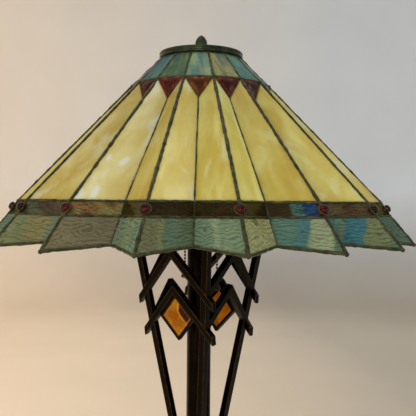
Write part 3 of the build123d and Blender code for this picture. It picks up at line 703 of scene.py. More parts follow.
def amber_pane(i, side):
    seed = 100 + i * 2 + (side > 0)
    base = pick(AMBER, AMBER_POOL, (i, side), seed) * GAINS["amber"]
    r = np.random.default_rng(seed * 7)
    tilt = r.uniform(-0.5, 0.5)

    def relief(x, y, e):
        k = k3(x + tilt * y * 0.2, y, seed)
        return 0.28 * noise(k * np.array([1 / 16, 1 / 34, 1]), 1) + 0.10 * noise(k * np.array([1 / 6, 1 / 11, 1]), 2) + 0.0 * e

    def colour(x, y, e, u, v):
        k = k3(x + tilt * y * 0.3, y, seed)
        warp = 9 * noise(k * np.array([1 / 22, 1 / 30, 1]), 12)
        k2 = k3(x + tilt * y * 0.3 + warp, y + warp, seed)
        w1 = fbm(k2 * np.array([1 / 15, 1 / 50, 1]), 3, 3)
        w2 = fbm(k2 * np.array([1 / 8, 1 / 34, 1]), 3, 8)
        w3 = fbm(k2 * np.array([1 / 26, 1 / 30, 1]), 2, 15)
        cream = base * np.array([1.14, 1.20, 1.60])
        ochre = base * np.array([0.92, 0.84, 0.60])
        pale = base * np.array([1.10, 1.28, 2.5])
        c = np.tile(base, (len(x), 1))
        c = mixv(c, ochre, smooth(-w1, 0.02, 0.42))
        c = mixv(c, cream, smooth(w1, 0.02, 0.40) * 0.9)
        cloud = w2 + 0.6 * w3 + (0.30 * smooth(v, 0.35, 0.8) if (i, side) in ((14, 1), (13, 1)) else 0.0)
        c = mixv(c, pale, smooth(cloud, 0.22, 0.75) * 0.85)
        c = mixv(c, ochre * np.array([1.0, 0.96, 0.85]), smooth(-w2 - 0.5 * w3, 0.25, 0.7) * 0.6)
        c = c * (0.92 + 0.16 * smooth(v, 0.05, 0.7))[:, None]
        return stain_and_shade(stain_and_shade(c, e, 5.0, 0.30), e, 2.2, 0.75)
    return relief, colour


def crown_pane(i):
    seed = 300 + i
    base = pick(CROWN, CROWN_POOL, i, seed) * GAINS["crown"]
    blue = (i % 3 != 1)

    def relief(x, y, e):
        k = k3(x, y, seed)
        return 0.22 * noise(k * np.array([1 / 3.2, 1 / 11, 1]), 1) + 0.10 * noise(k * np.array([1 / 1.9, 1 / 2.6, 1]), 2)

    def colour(x, y, e, u, v):
        k = k3(x + 0.12 * y, y, seed)
        w = fbm(k * np.array([1 / 5.5, 1 / 42, 1]), 3, 4)
        w2 = fbm(k * np.array([1 / 2.4, 1 / 9, 1]), 3, 9)
        deep = base * (np.array([0.50, 0.78, 1.10]) if blue else np.array([0.72, 0.82, 0.66]))
        pale = base * np.array([1.55, 1.38, 1.10])
        c = np.tile(base, (len(x), 1))
        c = mixv(c, deep, smooth(-w, 0.02, 0.40))
        c = mixv(c, pale, smooth(w, 0.04, 0.45))
        c = c * (1 + 0.30 * w2)[:, None]
        return stain_and_shade(c, e, 2.6, 0.7)
    return relief, colour


def ripple(x, y, seed, lam, wander, amp, skew=0.0):
    """Hand-rolled ripple: rounded swells parted by narrow troughs that wander and merge."""
    k = k3(x, y, seed)
    ph = y / lam + skew * x / lam + wander * noise(k * np.array([1 / 12, 1 / 9, 1]), 5) + 0.75 * wander * noise(k * np.array([1 / 4.4, 1 / 5.5, 1]), 6)
    s = np.abs(np.sin(math.pi * ph))
    depth = 0.62 + 0.38 * noise(k * np.array([1 / 9, 1 / 7, 1]), 7)
    return amp * (s ** 0.8 - 0.6) * depth, s


# skirt pieces cut across several streaks of the sheet: where the tone changes from ridge (0) to valley (1), and the tones
SHEETS = {(1, -1): (0.285, (0.05, 0.42, 0.65), ((56, 82, 66), (108, 121, 92), (48, 88, 88), (60, 93, 79))),
          (2, -1): (0.38, (0.03, 0.41, 0.83, 0.93), ((62, 84, 66), (86, 94, 62), (38, 84, 90), (78, 90, 66), (59, 94, 81))),
          (3, -1): (0.0, (0.50,), ((56, 80, 64), (58, 80, 66))),
          (15, 1): (0.10, (0.33, 0.42, 0.70), ((84, 86, 56), (94, 99, 58), (66, 87, 66), (72, 88, 62))),
          (13, 1): (0.15, (0.35, 0.78), ((90, 98, 66), (98, 96, 58), (82, 94, 70))),
          (12, 1): (0.0, (0.50,), ((76, 96, 78), (82, 98, 76))),
          (0, -1): (0.0, (0.50, 0.62), ((88, 108, 84), (104, 122, 98), (84, 106, 86)))}


def fall(points):
    """How far the pane's top and bottom edges drop per unit of local x."""
    n = out_normal(points)
    ydir = unit((points[3] + points[2]) / 2 - (points[0] + points[1]) / 2)
    xdir = unit(np.cross(ydir, n))
    t, w = points[1] - points[0], points[2] - points[3]
    return 0.5 * ((t @ ydir) / (t @ xdir) + (w @ ydir) / (w @ xdir))


def skirt_pane(i, side, drop):
    seed = 500 + i * 2 + (side > 0)
    base = pick(SKIRT, SKIRT_POOL, (i, side), seed) * GAINS["skirt"]
    r = np.random.default_rng(seed * 3)
    lam, wander, skew = r.uniform(3.9, 4.6), r.uniform(0.75, 1.1), r.uniform(-0.05, 0.05)
    cuts = np.sort(r.uniform(-34, 34, 4))
    tones = [base * np.array([0.62, 0.95, 1.30]), base * np.array([1.12, 1.0, 0.78]), base * np.array([0.84, 1.03, 1.05]), base * np.array([1.0, 0.94, 0.84]), base * np.array([0.90, 1.06, 0.92])]
    order = r.permutation(5)
    plain = (i, side) in ((14, 1), (0, -1), (0, 1))
    if (i, side) == (14, 1):
        tones = [base * np.array(t) for t in ((1.0, 0.97, 0.9), (1.05, 1.0, 0.95), (0.95, 0.98, 1.0), (1.0, 0.96, 0.88), (0.98, 1.0, 0.95))]

    def relief(x, y, e):
        h, _ = ripple(x, y - drop * x, seed, lam, wander, 0.75, skew)
        return h + 0.06 * noise(k3(x, y, seed) / np.array([1.5, 1.5, 1]), 8)

    def colour(x, y, e, u, v):
        k = k3(x, y, seed)
        xx = x + 3.0 * noise(k * np.array([1 / 16, 1 / 12, 1]), 31)
        c = np.tile(base, (len(x), 1))
        amt = 0.3 if plain else 0.85
        tone = np.tile(tones[order[0]], (len(x), 1))
        for n_c, cx in enumerate(cuts):
            tone = mixv(tone, tones[order[n_c + 1]], smooth(xx, cx - 2.0, cx + 2.0))
        c = c * (1 - amt) + tone * amt
        if (i, side) in SHEETS:
            tilt, stops, hues = SHEETS[(i, side)]
            where = u - tilt * (v - 0.5) + 0.05 * noise(k * np.array([1 / 16, 1 / 12, 1]), 31)
            c = np.tile(lin(hues[0]), (len(x), 1))
            for cx, hue in zip(stops, hues[1:]):
                c = mixv(c, np.tile(lin(hue), (len(x), 1)), smooth(where, cx - 0.035, cx + 0.035))
        w = fbm(k * np.array([1 / 7, 1 / 20, 1]), 3, 14)
        c = c * (1 + 0.20 * w)[:, None]
        # colour darker in the ripple troughs and lighter on the crests: painted shade and painted highlight
        _, s = ripple(x, y - drop * x, seed, lam, wander, 0.75, skew)
        c = c * (0.56 + 0.46 * smooth(s, 0.0, 0.55))[:, None] * (1 + 0.25 * (s - 0.75))[:, None]
        return stain_and_shade(c, e, 2.8, 0.75)
    return relief, colour


def band_pane(i, side, drop):
    seed = 700 + i * 2 + (side > 0)
    base = pick(BAND, BAND_POOL, (i, side), seed) * GAINS["band"]
    r = np.random.default_rng(seed * 5)
    lam, wander = r.uniform(2.8, 3.6), r.uniform(0.6, 1.1)
    lumpy = (i, side) in ((13, 1), (14, -1)) or r.uniform() < 0.12
    teal = (i, side) == (1, -1)

    def relief(x, y, e):
        h, _ = ripple(x, y - drop * x, seed, lam, wander, 0.38)
        if lumpy:
            h = h * 0.4 + 0.5 * noise(k3(x, y, seed) / np.array([2.6, 2.6, 1]), 3)
        return h

    def colour(x, y, e, u, v):
        k = k3(x, y, seed)
        w = fbm(k * np.array([1 / 9, 1 / 5, 1]), 3, 14)
        c = base * (1 + 0.45 * w)[:, None]
        wine = np.array([0.85, 0.50, 0.55])
        c = mixv(c, c * wine, smooth(fbm(k * np.array([1 / 15, 1 / 9, 1]), 2, 22), -0.1, 0.5))
        if teal:
            # this piece was cut across the edge of a blue streak
            hue = mixv(np.tile(lin((16, 44, 76)), (len(x), 1)), np.tile(lin((44, 78, 72)), (len(x), 1)), smooth(u, 0.28, 0.40))
            c = mixv(c, hue * (1 + 0.9 * fbm(k / np.array([4, 2.2, 1]), 3, 51))[:, None], smooth(-u, -0.60, -0.50) * smooth(u, 0.05, 0.12) * (1 - 0.55 * smooth(noise(k / np.array([3, 2.2, 1]), 5), -0.1, 0.6)))
        # colour darker in the ripple troughs and a little lighter on the crests: painted shade and painted highlight
        _, s = ripple(x, y - drop * x, seed, lam, wander, 0.38)
        c = c * (0.36 + 0.74 * smooth(s, 0, 0.6))[:, None]
        return stain_and_shade(c, e, 2.2, 0.6)
    return relief, colour


# ruby tones are set the same way and hold painted light and shade as well as the glass colour
RUBY = {12: (60, 14, 3), 13: (56, 7, 1), 14: (68, 9, 1), 15: (73, 36, 1), 0: (57, 12, 1), 1: (58, 9, 2)}


def ruby_pane(i):
    seed = 900 + i
    base = pick(RUBY, [(62, 12, 3), (70, 22, 4), (56, 10, 3)], i, seed) * GAINS["ruby"]

    def relief(x, y, d):
        m = -np.log(np.exp(-d[:, 0] / 0.9) + np.exp(-d[:, 1] / 0.9) + np.exp(-d[:, 2] / 0.9)) * 0.9
        h = np.clip(m, 0, 5.2) * 0.34
        k = k3(x, y, seed)
        return h * 1.0 + 0.14 * noise(k / np.array([2.1, 2.1, 1]), 2) + 0.12 * noise(k * np.array([1 / 1.3, 1 / 6, 1]), 4)

    def colour(x, y, d):
        k = k3(x, y, seed)
        m = d.min(1)
        painted_edge_glow = base * np.array([2.8, 4.6, 2.4])
        deep = base * np.array([0.42, 0.24, 0.4])
        w = fbm(k * np.array([1 / 2.6, 1 / 8, 1]), 3, 7)
        c = np.tile(base, (len(x), 1))
        # darker towards the middle; the orange streaks near the edges are a painted glow and highlight
        c = mixv(c, deep, smooth(m, 1.2, 4.0) * 0.85)
        c = mixv(c, painted_edge_glow, smooth(w, 0.04, 0.4) * smooth(-m, -5.0, -0.8))
        return stain_and_shade(c, m, 1.6, 0.7)
    return relief, colour


crown_b, ruby_b, amber_b, band_b, skirt_b = Build(), Build(), Build(), Build(), Build()
RF, RB = 1.1, 2.75     # how far each face of a pane stops from its rib's fold
for i in range(N):
    a = PHASE + i * STEP_A
    relief, colour = crown_pane(i)
    V, Q, C = quad_slab([A_top, B_top, B_knee, A_knee], [0.2, 0.3, 0.4, 0.3], [0.4, 1.0, 0.6, 1.0], 2.7, 1.5, 1.6, relief, colour)
    crown_b.add(rot_z(V, a), Q, None, C)
    relief, colour = ruby_pane(i)
    V, Q, T, C = tri_slab(A_knee, B_knee, V_apex, [0.5, 0.3, 0.3], 2.6, 26, relief, colour)
    ruby_b.add(rot_z(V, a), Q, T, C)
    for side in (-1, 1):
        def m(p):
            return p if side > 0 else flip(p)
        relief, colour = amber_pane(i, side)
        V, Q, C = quad_slab([m(A_knee), m(V_apex), m(V_bt), m(A_bt)], [0.3, 0.15, 0.3, RF], [0.8, 0.3, 0.4, RB], 2.6, 3.0, 2.9, relief, colour)
        amber_b.add(rot_z(V, a), Q, None, C)
        quad = [m(A_bt), m(V_bt), m(V_bb), m(A_bb)]
        relief, colour = band_pane(i, side, fall(quad))
        V, Q, C = quad_slab(quad, [0.3, 0.15, 0.3, RF], [0.4, 0.3, 0.4, RB], 2.6, 1.3, 1.0, relief, colour)
        band_b.add(rot_z(V, a), Q, None, C)
        quad = [m(A_bb), m(V_bb), m(V_edge), m(A_tip)]
        relief, colour = skirt_pane(i, side, fall(quad))
        V, Q, C = quad_slab(quad, [0.3, 0.15, 0.4, RF], [0.4, 0.3, 0.5, RB], 2.6, 1.7, 0.85, relief, colour)
        skirt_b.add(rot_z(V, a), Q, None, C)
crown_b.make("crown_panes", "shade", "crown_glass", M["crown"], ["crown_glass"])
ruby_b.make("ruby_panes", "shade", "ruby_glass", M["ruby"], ["ruby_triangles"])
amber_b.make("amber_panes", "shade", "amber_panel_glass", M["amber"], ["amber_panels"])
band_b.make("band_panes", "shade", "band_glass", M["band"], ["band_glass"])
skirt_b.make("skirt_panes", "shade", "water_glass", M["skirt"], ["skirt_glass"])


# ------------------------------------------------------------------ solder lines
def inward(p, d):
    v = unit(np.array([p[0], p[1], 0]))
    return p - v * d - np.array([0, 0, 0.4 * d])


ridge_s, valley_s, crown_s, band_s, edge_s = Build(), Build(), Build(), Build(), Build()
j_c = (A_bt + A_bb) / 2
sl = unit(A_bb - A_bt)
j_out = unit(np.array([0, sl[2], -sl[1]]))
if j_out[1] > 0:
    j_out = -j_out
j_side = np.array([1.0, 0, 0])
jewels = Build()
for i in range(N):
    a = PHASE + i * STEP_A

    def R(p):
        return rot_z(p, a)
    up = rot_z(np.array([0, -0.7, 0.7]), a)
    # ridge, in two runs that stop at the cabochon
    tube(ridge_s, [R(inward(A_top, 0.9)), R(inward(A_knee, 1.0)), R(inward(A_bt, 1.0)), R(inward(j_c - sl * 3.2, 1.2))], 1.62, i * 5 + 1, seg=12, squash=0.92, up=up,
         grow=lambda t, s: 1.02 + 0.12 * np.exp(-((s - 42.5) / 3.0) ** 2))
    tube(ridge_s, [R(inward(j_c + sl * 3.2, 1.2)), R(inward(A_bb, 1.1)), R(inward(A_tip, 1.2))], 1.70, i * 5 + 2, seg=12, squash=0.92, up=up)
    tube(valley_s, [R(inward(V_apex, 0.5)), R(inward(V_bt, 0.5)), R(inward(V_bb, 0.5)), R(inward(V_edge, 0.5))], 1.30, i * 5 + 3, seg=10, up=up)
    tube(crown_s, [R(inward(A_knee, 0.7)), R(inward(B_knee, 0.7))], 1.35, i * 5 + 4, up=up)
    tube(crown_s, [R(inward(A_knee, 0.7)), R(inward(V_apex, 0.7))], 1.05, i * 5 + 5, up=up)
    tube(crown_s, [R(inward(B_knee, 0.7)), R(inward(V_apex, 0.7))], 1.05, i * 5 + 6, up=up)
    tube(crown_s, [R(inward(A_top, 0.7)), R(inward(B_top, 0.7))], 1.2, i * 5 + 7, up=up)
    blob(crown_s, R(inward(V_apex, 0.5)), 1.7, i, flat=(1, 1, 0.9))
    blob(ridge_s, R(inward(A_knee, 0.7)), 2.25, i + 40, flat=(1, 1, 0.85))
    for side in (-1, 1):
        def m(p):
            return R(p if side > 0 else flip(p))
        tube(band_s, [m(inward(A_bt, 0.7)), m(inward(V_bt, 0.7))], 1.42, i * 9 + 11 + side, up=up)
        tube(band_s, [m(inward(A_bb, 0.7)), m(inward(V_bb, 0.7))], 1.42, i * 9 + 14 + side, up=up)
        tube(edge_s, [m(inward(A_tip, 1.1)), m(inward(V_edge, 0.9))], 1.45, i * 9 + 17 + side, up=up, squash=1.05)
    blob(band_s, R(inward(V_bt, 0.6)), 1.35, i + 80)
    blob(band_s, R(inward(V_bb, 0.6)), 1.4, i + 120)
    blob(edge_s, R(inward(V_edge, 0.7)), 1.6, i + 160)
    blob(edge_s, R(inward(A_tip, 1.3)), 2.05, i + 200)
    # solder seat round the cabochon
    ring = []
    for t in np.linspace(0, 2 * math.pi, 33):
        ring.append(R(j_c - j_out * 0.55 + (j_side * math.cos(t) + sl * math.sin(t)) * 4.75))
    tube(band_s, ring, 0.85, i + 300, seg=8, step=1.0, up=R(j_out))
    # cabochon
    ph = np.linspace(0, math.pi / 2, 11)
    prof = [(4.25, -2.6), (4.25, 1.5)] + [(4.25 * math.cos(t) ** 0.9 if t < math.pi / 2 - 1e-6 else 0.0, 1.5 + 2.8 * math.sin(t)) for t in ph[1:]]
    prof = [(0.0, -2.6)] + prof
    seg = 32
    V, idx = [], []
    for r_, z_ in prof:
        if r_ < 1e-6:
            idx.append([len(V)] * seg)
            V.append(j_c + j_out * z_)
        else:
            idx.append(list(range(len(V), len(V) + seg)))
            V += [j_c + j_out * z_ + (j_side * math.cos(t) + sl * math.sin(t)) * r_ for t in np.arange(seg) * 2 * math.pi / seg]
    q, tr = [], []
    for p0, p1 in zip(idx[:-1], idx[1:]):
        for k in range(seg):
            k2 = (k + 1) % seg
            if p0[0] == p0[1]:
                tr.append((p0[0], p1[k2], p1[k]))
            elif p1[0] == p1[1]:
                tr.append((p0[k], p0[k2], p1[0]))
            else:
                q.append((p0[k], p0[k2], p1[k2], p1[k]))
    # brighter red round the foot of the dome and dark on top: a painted rim glow; the four cabochons at the sides are
    # darker
    rise = np.clip((np.array(V) - j_c) @ j_out / 4.3, 0, 1)[:, None]
    jewels.add(R(np.array(V)), np.array(q), np.array(tr), (lin((84, 14, 7)) * (1 - rise) + lin((24, 3, 2)) * rise) * (0.22 if i in (2, 3, 12, 13) else 1.0))
ridge_s.make("ridge_solder", "shade", "patina_solder", M["solder"], ["ridge_cames"], sharp=60)
valley_s.make("valley_solder", "shade", "patina_solder", M["solder"], ["valley_cames"], sharp=60)
crown_s.make("crown_solder", "shade", "patina_solder", M["solder"], ["crown_cames"], sharp=60)
band_s.make("band_solder", "shade", "patina_solder", M["solder"], ["band_cames"], sharp=60)
edge_s.make("edge_solder", "shade", "patina_solder", M["solder"], ["edge_cames"], sharp=60)
jewels.make("ridge_cabochons", "shade", "jewel_glass", M["jewel"], ["ridge_jewels"], sharp=50)

# ------------------------------------------------------------------ cap, ring, finial
ZC = ZJ + 163.0
PIPE = 4.9
b = Build()
lathe(b, [(PIPE + 0.1, ZC + 4.5), (12, ZC + 4.5), (30, ZC + 3.7), (40.2, ZC + 2.5), (43.6, ZC + 1.0), (44.2, ZC + 0.05), (45.4, ZC + 0.05), (46.0, ZC + 0.6), (46.0, ZC + 2.0), (45.55, ZC + 2.5),
          (45.55, ZC + 4.0), (46.0, ZC + 4.5), (46.0, ZC + 5.7), (45.3, ZC + 6.6), (43.8, ZC + 7.0), (38, ZC + 7.4), (28, ZC + 8.2), (16, ZC + 8.9), (10, ZC + 9.2), (PIPE + 0.1, ZC + 9.2)], seg=144, ease=0.3)
b.make("spun_cap", "shade", "cap_bronze", M["cap"], ["vase_cap"], sharp=60)
b = Build()
lathe(b, [(38.4, ZC - 7.5), (40.2, ZC - 7.5), (40.2, ZC + 2.2), (38.4, ZC + 2.3)], seg=96, ease=0.2)
b.make("neck_ring", "shade", "brass", M["brass"], ["shade_ring"])
b = Build()
lathe(b, [(PIPE + 0.15, ZC + 9.2), (8.1, ZC + 9.2), (8.5, ZC + 9.6), (8.5, ZC + 10.1), (8.2, ZC + 10.4), (PIPE + 0.15, ZC + 10.4)], seg=64, ease=0.15)
b.make("finial_base_washer", "finial_seat", "cap_bronze", M["cap"], ["finial_washer"])
fz = ZC + 10.4
b = Build()
lathe(b, [(0, fz + 6.2), (PIPE + 0.1, fz + 6.2), (PIPE + 0.1, fz), (6.6, fz), (7.2, fz + 0.4), (7.4, fz + 1.1), (7.35, fz + 1.8), (6.9, fz + 2.6), (6.1, fz + 3.0), (5.85, fz + 3.5), (5.95, fz + 4.1),
          (6.5, fz + 4.7), (6.7, fz + 5.4), (6.75, fz + 6.4), (6.7, fz + 7.5), (6.55, fz + 8.6), (6.27, fz + 9.8), (5.9, fz + 11.0), (5.35, fz + 12.2), (4.65, fz + 13.3), (3.85, fz + 14.3), (3.0, fz + 15.15),
          (2.1, fz + 15.85), (1.2, fz + 16.4), (0.6, fz + 16.7), (0, fz + 16.85)], seg=64, ease=0.25)
b.make("acorn_finial", "finial", "cap_bronze", M["cap"], ["finial"], sharp=60)

# ------------------------------------------------------------------ column, collar, cups
b = Build()
lathe(b, [(11.65, 40.1), (13.2, 40.1), (13.2, 441.9), (11.65, 441.9)], seg=80, ease=0.3)
b.make("column_tube", "stand", "dark_bronze", M["bronze"], ["column"])
b = Build()
lathe(b, [(5.0, 35.1), (24, 35.1), (24.2, 36.0), (23.6, 37.0), (21.5, 38.6), (19.2, 40.2), (18.0, 42.0), (17.2, 44.5), (16.6, 47.2), (16.6, 48.2), (15.9, 49.0), (15.9, 50.4), (15.5, 51.0), (13.25, 51.0), (13.25, 40.05), (5.0, 40.05)], seg=80, ease=0.5)
b.make("turned_column_cup", "stand", "dark_bronze", M["bronze"], ["column_cup"])


def strut_r(z):
    return 58.7 + 0.2022 * (z - ZJ + 81.3)


# struts, chevrons, frames, spider, collar: the CAD shapes with broken edges
for n in ("front", "right", "back", "left"):
    bevel_copy("lattice_strut_" + n, "strut_" + n, "stand", M["bronze"], 0.7, 3)
for n in ("front_left", "front_right", "back_right", "back_left"):
    bevel_copy("lattice_bars_" + n, "chevrons_" + n, "stand", M["bronze"], 0.9, 3)
for n in ("front", "back"):
    bevel_copy("square_frame_" + n, "diamond_frame_" + n, "stand", M["bronze"], 0.35, 2)
bevel_copy("spider_plate", "top_spider", "stand", M["bronze"], 0.5, 2)
bevel_copy("strut_collar", "lower_collar", "stand", M["bronze"], 0.35, 2, angle=32)
bevel_copy("stepped_foot", "foot_casting", "stand", M["bronze"], 0.3, 2, angle=40)

# square amber glass in its frame
LEAN = math.atan(0.2022 * math.sqrt(0.5))
for tag, az in (("front", -45), ("back", 135)):
    t = math.radians(az)
    out = np.array([math.sin(t), -math.cos(t), 0])
    side = np.array([math.cos(t), math.sin(t), 0])
    upv = out * math.sin(LEAN) + np.array([0, 0, math.cos(LEAN)])
    nrm = out * math.cos(LEAN) - np.array([0, 0, math.sin(LEAN)])
    z = ZJ - 86.2
    apex = out * (strut_r(z) * math.sqrt(0.5)) + np.array([0, 0, z])
    cos_b, tan_b = math.cos(math.radians(47.3)), math.tan(math.radians(47.3))
    c = apex - upv * (3.35 / cos_b + 0.02 / cos_b + 25.6) - nrm * 0.4
    k = 25.6 - 1.68 / cos_b
    corners = [c + upv * k, c + side * (k / tan_b), c - upv * k, c - side * (k / tan_b)]
    nu = 30
    vv, uu = np.meshgrid(np.linspace(0, 1, nu + 1), np.linspace(0, 1, nu + 1), indexing="ij")
    vv, uu = vv.ravel()[:, None], uu.ravel()[:, None]
    G0 = (corners[0] * (1 - uu) + corners[1] * uu) * (1 - vv) + (corners[3] * (1 - uu) + corners[2] * uu) * vv
    e = np.minimum(np.minimum(uu, 1 - uu), np.minimum(vv, 1 - vv))[:, 0] * 26
    h = 0.32 * noise(G0 / 3.1, 61) + 0.14 * noise(G0 / 1.6, 62)
    h = np.clip(h, -0.4, 0.4) * smooth(e, 1.5, 3.5) * 0.8
    w = fbm(G0 / 9.0, 3, 71)
    base = lin((220, 158, 16))
    col = mixv(np.tile(base, (len(w), 1)), lin((240, 182, 34)), smooth(w, 0.0, 0.5))
    col = mixv(col, lin((198, 118, 6)), smooth(-w, 0.0, 0.5) * 0.8)
    if tag == "front":
        # where the dark column shows through the glass a wine-dark patch is painted in, with a painted highlight arc on
        # its rim, cut off by the upper right edge
        painted_column_dist = np.hypot((uu[:, 0] - 0.72) / 0.46, (vv[:, 0] - 0.06) / 0.31) + 0.10 * noise(G0 / 4.0, 75)
        col = mixv(col, lin((255, 206, 48)), (1 - smooth(np.abs(painted_column_dist - 1.12), 0.03, 0.13)) * smooth(-uu[:, 0], -0.85, -0.65) * 0.9)
        col = mixv(col, lin((88, 12, 2)), 1 - smooth(painted_column_dist, 0.90, 1.06))
    else:
        # the back square is painted lighter and yellower to stand in for the light it lacks
        col = col * np.array([1.18, 1.28, 1.0])
    # lighter along the edges: painted highlight
    col = mixv(col, lin((252, 188, 60)), (1 - smooth(e, 1.4, 3.6)) * 0.7)
    bb = Build()
    bb.add(np.concatenate([G0 + nrm * (0.75 + h)[:, None], G0 - nrm * (0.75 - 0.6 * h)[:, None]]), slab_faces(nu, nu), None, np.concatenate([col, col]))
    bb.make("square_glass_" + tag, "stand", "amber_square_glass", M["diamond"], ["diamond_glass_" + tag])

# ------------------------------------------------------------------ sockets, bulbs, pulls
SOCK = 463.0
SR = 15.5
caps, shells = Build(), {}
for tag, sx in (("left", -1), ("right", 1)):
    cx = sx * 36.0
    lathe(caps, [(5.6, SOCK + 0.03), (11, SOCK + 0.03), (12.6, SOCK + 1.2), (14.2, SOCK + 3), (15.4, SOCK + 6), (SR + 0.7, SOCK + 9), (SR + 0.7, SOCK + 13.95), (SR - 0.55, SOCK + 13.95), (SR - 0.55, SOCK + 9.4), (13.2, SOCK + 4.4), (10.6, SOCK + 1.4), (5.6, SOCK + 1.4)], seg=56, centre=(cx, 0), ease=0.3)
    bg = Build()
    bz = SOCK + 24.5
    lathe(bg, [(0, bz + 26.02), (12.3, bz + 26.02), (12.8, bz + 28), (13.5, bz + 30.5), (14.3, bz + 33), (15.4, bz + 35.6), (16.8, bz + 38.6), (18.5, bz + 42), (20.3, bz + 46), (22.0, bz + 50.2), (23.1, bz + 54), (23.75, bz + 57.5),
               (23.95, bz + 61), (23.8, bz + 65), (23.2, bz + 68.6), (22.2, bz + 72), (20.7, bz + 75.2), (18.7, bz + 78.4), (16.2, bz + 81.2), (13.2, bz + 83.5), (9.8, bz + 85.2), (6.5, bz + 86.2), (3.3, bz + 86.8), (0, bz + 86.95)], seg=64, centre=(cx, 0), ease=0.2)
    bg.make("bulb_envelope_" + tag, "stand", "frosted_glass", M["frosted"], ["bulb_glass_" + tag])
    # bead chain
    px, py = sx * 17.5, -15.0
    z_top = 481.0
    z_end = ZJ + (-66.0 if sx < 0 else -80.0)
    n_b = int((z_top - z_end) / 3.5)
    ch = Build()
    for kx in range(n_b + 1):
        blob(ch, np.array([px, py, z_top - kx * 3.5]), 1.24, kx, rings=8, seg=14, rough=0.0)
        if kx < n_b:
            z0, z1 = z_top - kx * 3.5 - 1.0, z_top - (kx + 1) * 3.5 + 1.0
            lathe(ch, [(0, z0), (0.42, z0), (0.42, z1), (0, z1)], seg=8, centre=(px, py), ease=0.02)
    ch.make("bead_chain_" + tag, "pull_" + tag, "aged_brass", M["aged"], ["pull_chain_" + tag], sharp=60)
    zl = z_top - n_b * 3.5
    pl = Build()
    lathe(pl, [(0, zl - 1.2), (1.5, zl - 1.1), (1.75, zl - 1.3), (2.1, zl - 2.2), (2.15, zl - 3.0), (2.35, zl - 4.0), (2.75, zl - 5.5), (3.3, zl - 7.0), (3.9, zl - 8.1), (4.15, zl - 8.7), (4.18, zl - 9.3), (3.8, zl - 9.9), (3.2, zl - 10.3), (1.5, zl - 10.55), (0, zl - 10.58)], seg=40, centre=(px, py), ease=0.12)
    pl.make("bell_pull_" + tag, "pull_" + tag, "aged_brass", M["aged"], ["chain_pull_" + tag])
caps.make("socket_cups", "stand", "aged_brass", M["aged"], ["socket_caps"])

# ------------------------------------------------------------------ finishes of the CAD nodes that stay
CARRY = {"column_plug": "iron", "cluster_body": "aged", "cluster_nut": "aged", "cap_nut": "brass", "socket_interiors": "black", "screw_shells": "brass", "socket_shell_left": "aged", "socket_shell_right": "aged",
         "chain_outlet_left": "aged", "chain_outlet_right": "aged", "bulb_base_left": "brass", "bulb_base_right": "brass", "lamp_pipe": "zinc", "spider_screws": "bronze", "foot_washer": "zinc", "foot_nut": "zinc",
         "foot_weight": "iron", "foot_board": "board", "felt_pad": "felt", "cord_bushing": "black"}
for n, o in nodes.items():
    if o.hide_render:
        continue
    mat = M[CARRY.get(n, "bronze")]
    if not o.data.materials:
        o.data.materials.append(mat)
    for s in range(len(o.material_slots)):
        o.material_slots[s].link = "OBJECT"
        o.material_slots[s].material = mat


# ------------------------------------------------------------------ stage
def cove():
    g = Graph("studio_cove")
    n = g.noise(3.0, 3, 0.5)
    n2 = g.noise(160.0, 3, 0.6)
    xyz = g.node("ShaderNodeSeparateXYZ", Vector=g.tc.outputs["Object"])
    across = g.range(xyz.outputs["X"], -1.1, 1.1, 0.0, 1.0)
    # painted light: the wall is lighter and warmer at the left and cooler at the right, and the floor darkens to the
    # right as a painted shadow
    wall = g.mix((0.80, 0.70, 0.58), (0.55, 0.60, 0.645), across)
    floor = g.mix((0.68, 0.53, 0.38), (0.28, 0.25, 0.205), g.range(xyz.outputs["X"], -0.7, 0.65, 0.0, 1.0))
    c = g.mix(floor, wall, g.range(xyz.outputs["Z"], 0.0, 0.55, 0.0, 1.0))
    c = g.mix(c, g.ramp(n, [(0.3, 0.97), (0.7, 1.03)]), 1.0, "MULTIPLY")
    p = g.principled(Base_Color=c, Roughness=0.9, Normal=g.bump(n2, 0.12, 0.002))
    mat = g.finish(p.outputs[0])
    prof = [(0, 0)]
    R0, RC, HT = 3.2, 0.9, 3.6
    for t in np.linspace(0, math.pi / 2, 14):
        prof.append((R0 - RC + RC * math.sin(t), RC - RC * math.cos(t)))
    prof.append((R0, HT))
    seg = 96
    V, F = [(0, 0, 0)], []
    for r_, z_ in prof[1:]:
        for k in range(seg):
            t = 2 * math.pi * k / seg
            V.append((r_ * math.cos(t), r_ * math.sin(t), z_))
    for k in range(seg):
        F.append((0, 1 + k, 1 + (k + 1) % seg))
    for i_ in range(len(prof) - 2):
        for k in range(seg):
            a_, b_ = 1 + i_ * seg + k, 1 + i_ * seg + (k + 1) % seg
            F.append((a_, a_ + seg, b_ + seg, b_))
    me = bpy.data.meshes.new("studio_cove")
    me.from_pydata(V, [], F)
    me.shade_smooth()
    me.materials.append(mat)
    o = bpy.data.objects.new("studio_cove", me)
    bpy.context.scene.collection.objects.link(o)


cove()


def area(name, loc, target, size, power, colour, size_y=None):
    li = bpy.data.lights.new(name, "AREA")
    li.energy, li.color = power, colour
    li.shape = "RECTANGLE"
    li.size, li.size_y = size, size_y or size
    o = bpy.data.objects.new(name, li)
    o.location = loc
    d = Vector(target) - Vector(loc)
    o.rotation_mode = "QUATERNION"
    o.rotation_quaternion = d.to_track_quat("-Z", "Y")
    bpy.context.scene.collection.objects.link(o)
    return o


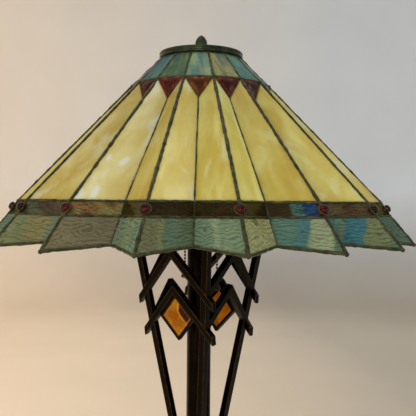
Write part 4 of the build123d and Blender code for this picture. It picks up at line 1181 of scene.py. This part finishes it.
key = area("key", (-1.5, -1.7, 1.9), (0, 0, 0.45), 1.3, 52, (1.0, 0.94, 0.85))
fill = area("fill", (1.7, -1.3, 1.1), (0, 0, 0.45), 1.4, 22, (0.90, 0.97, 1.0))
top = area("top", (0.0, 0.2, 2.7), (0, 0, 0.4), 1.8, 30, (1.0, 0.98, 0.95))
rim = area("rim", (0.6, 2.0, 1.5), (0, 0, 0.4), 1.2, 18, (1.0, 0.97, 0.93))
for li in (key, fill, top, rim):
    li.visible_glossy = False       # the big diffusers light the lamp but do not mirror in its glass
area("strip_left", (-1.25, -1.15, 0.55), (0, 0, 0.40), 0.16, 2.8, (1.0, 0.90, 0.76), size_y=1.1)
area("strip_right", (1.30, -0.85, 0.60), (0, 0, 0.40), 0.16, 2.2, (1.0, 0.97, 0.88), size_y=1.1)
area("front_card", (-0.35, -1.5, 0.80), (0, 0, 0.48), 0.35, 4.0, (1.0, 0.96, 0.90))
area("glint", (-0.5, -0.2, 2.2), (0, 0, 0.55), 0.14, 1.6, (1.0, 0.97, 0.92))
world = bpy.data.worlds.new("studio_world")
world.use_nodes = True
world.node_tree.nodes["Background"].inputs["Color"].default_value = (0.95, 0.96, 1.0, 1)
world.node_tree.nodes["Background"].inputs["Strength"].default_value = 0.55
bpy.context.scene.world = world
bpy.context.scene.view_settings.view_transform = "Standard"

# ------------------------------------------------------------------ camera
AZ, PITCH, YAW, ROLL = math.radians(-6.49), math.radians(0.39), math.radians(-0.69), math.radians(0.48)
D = 0.745
cam_data = bpy.data.cameras.new("camera")
cam_data.lens, cam_data.sensor_width = 58.23, 36.0
cam_data.clip_start, cam_data.clip_end = 0.05, 20
cam = bpy.data.objects.new("camera", cam_data)
bpy.context.scene.collection.objects.link(cam)
right0 = Vector((math.cos(YAW), math.sin(YAW), 0))
fwd0 = Vector((-math.sin(YAW), math.cos(YAW), 0))
up0 = Vector((0, 0, 1))
fwd = math.cos(PITCH) * fwd0 - math.sin(PITCH) * up0
up = math.sin(PITCH) * fwd0 + math.cos(PITCH) * up0
right = math.cos(ROLL) * right0 + math.sin(ROLL) * up
up = -math.sin(ROLL) * right0 + math.cos(ROLL) * up
basis = Matrix((right, up, -fwd)).transposed()
cam.matrix_world = Matrix.Rotation(AZ, 4, "Z") @ (Matrix.Translation((0, -D, 0.4706)) @ basis.to_4x4())
bpy.context.scene.camera = cam

bpy.context.view_layer.update()
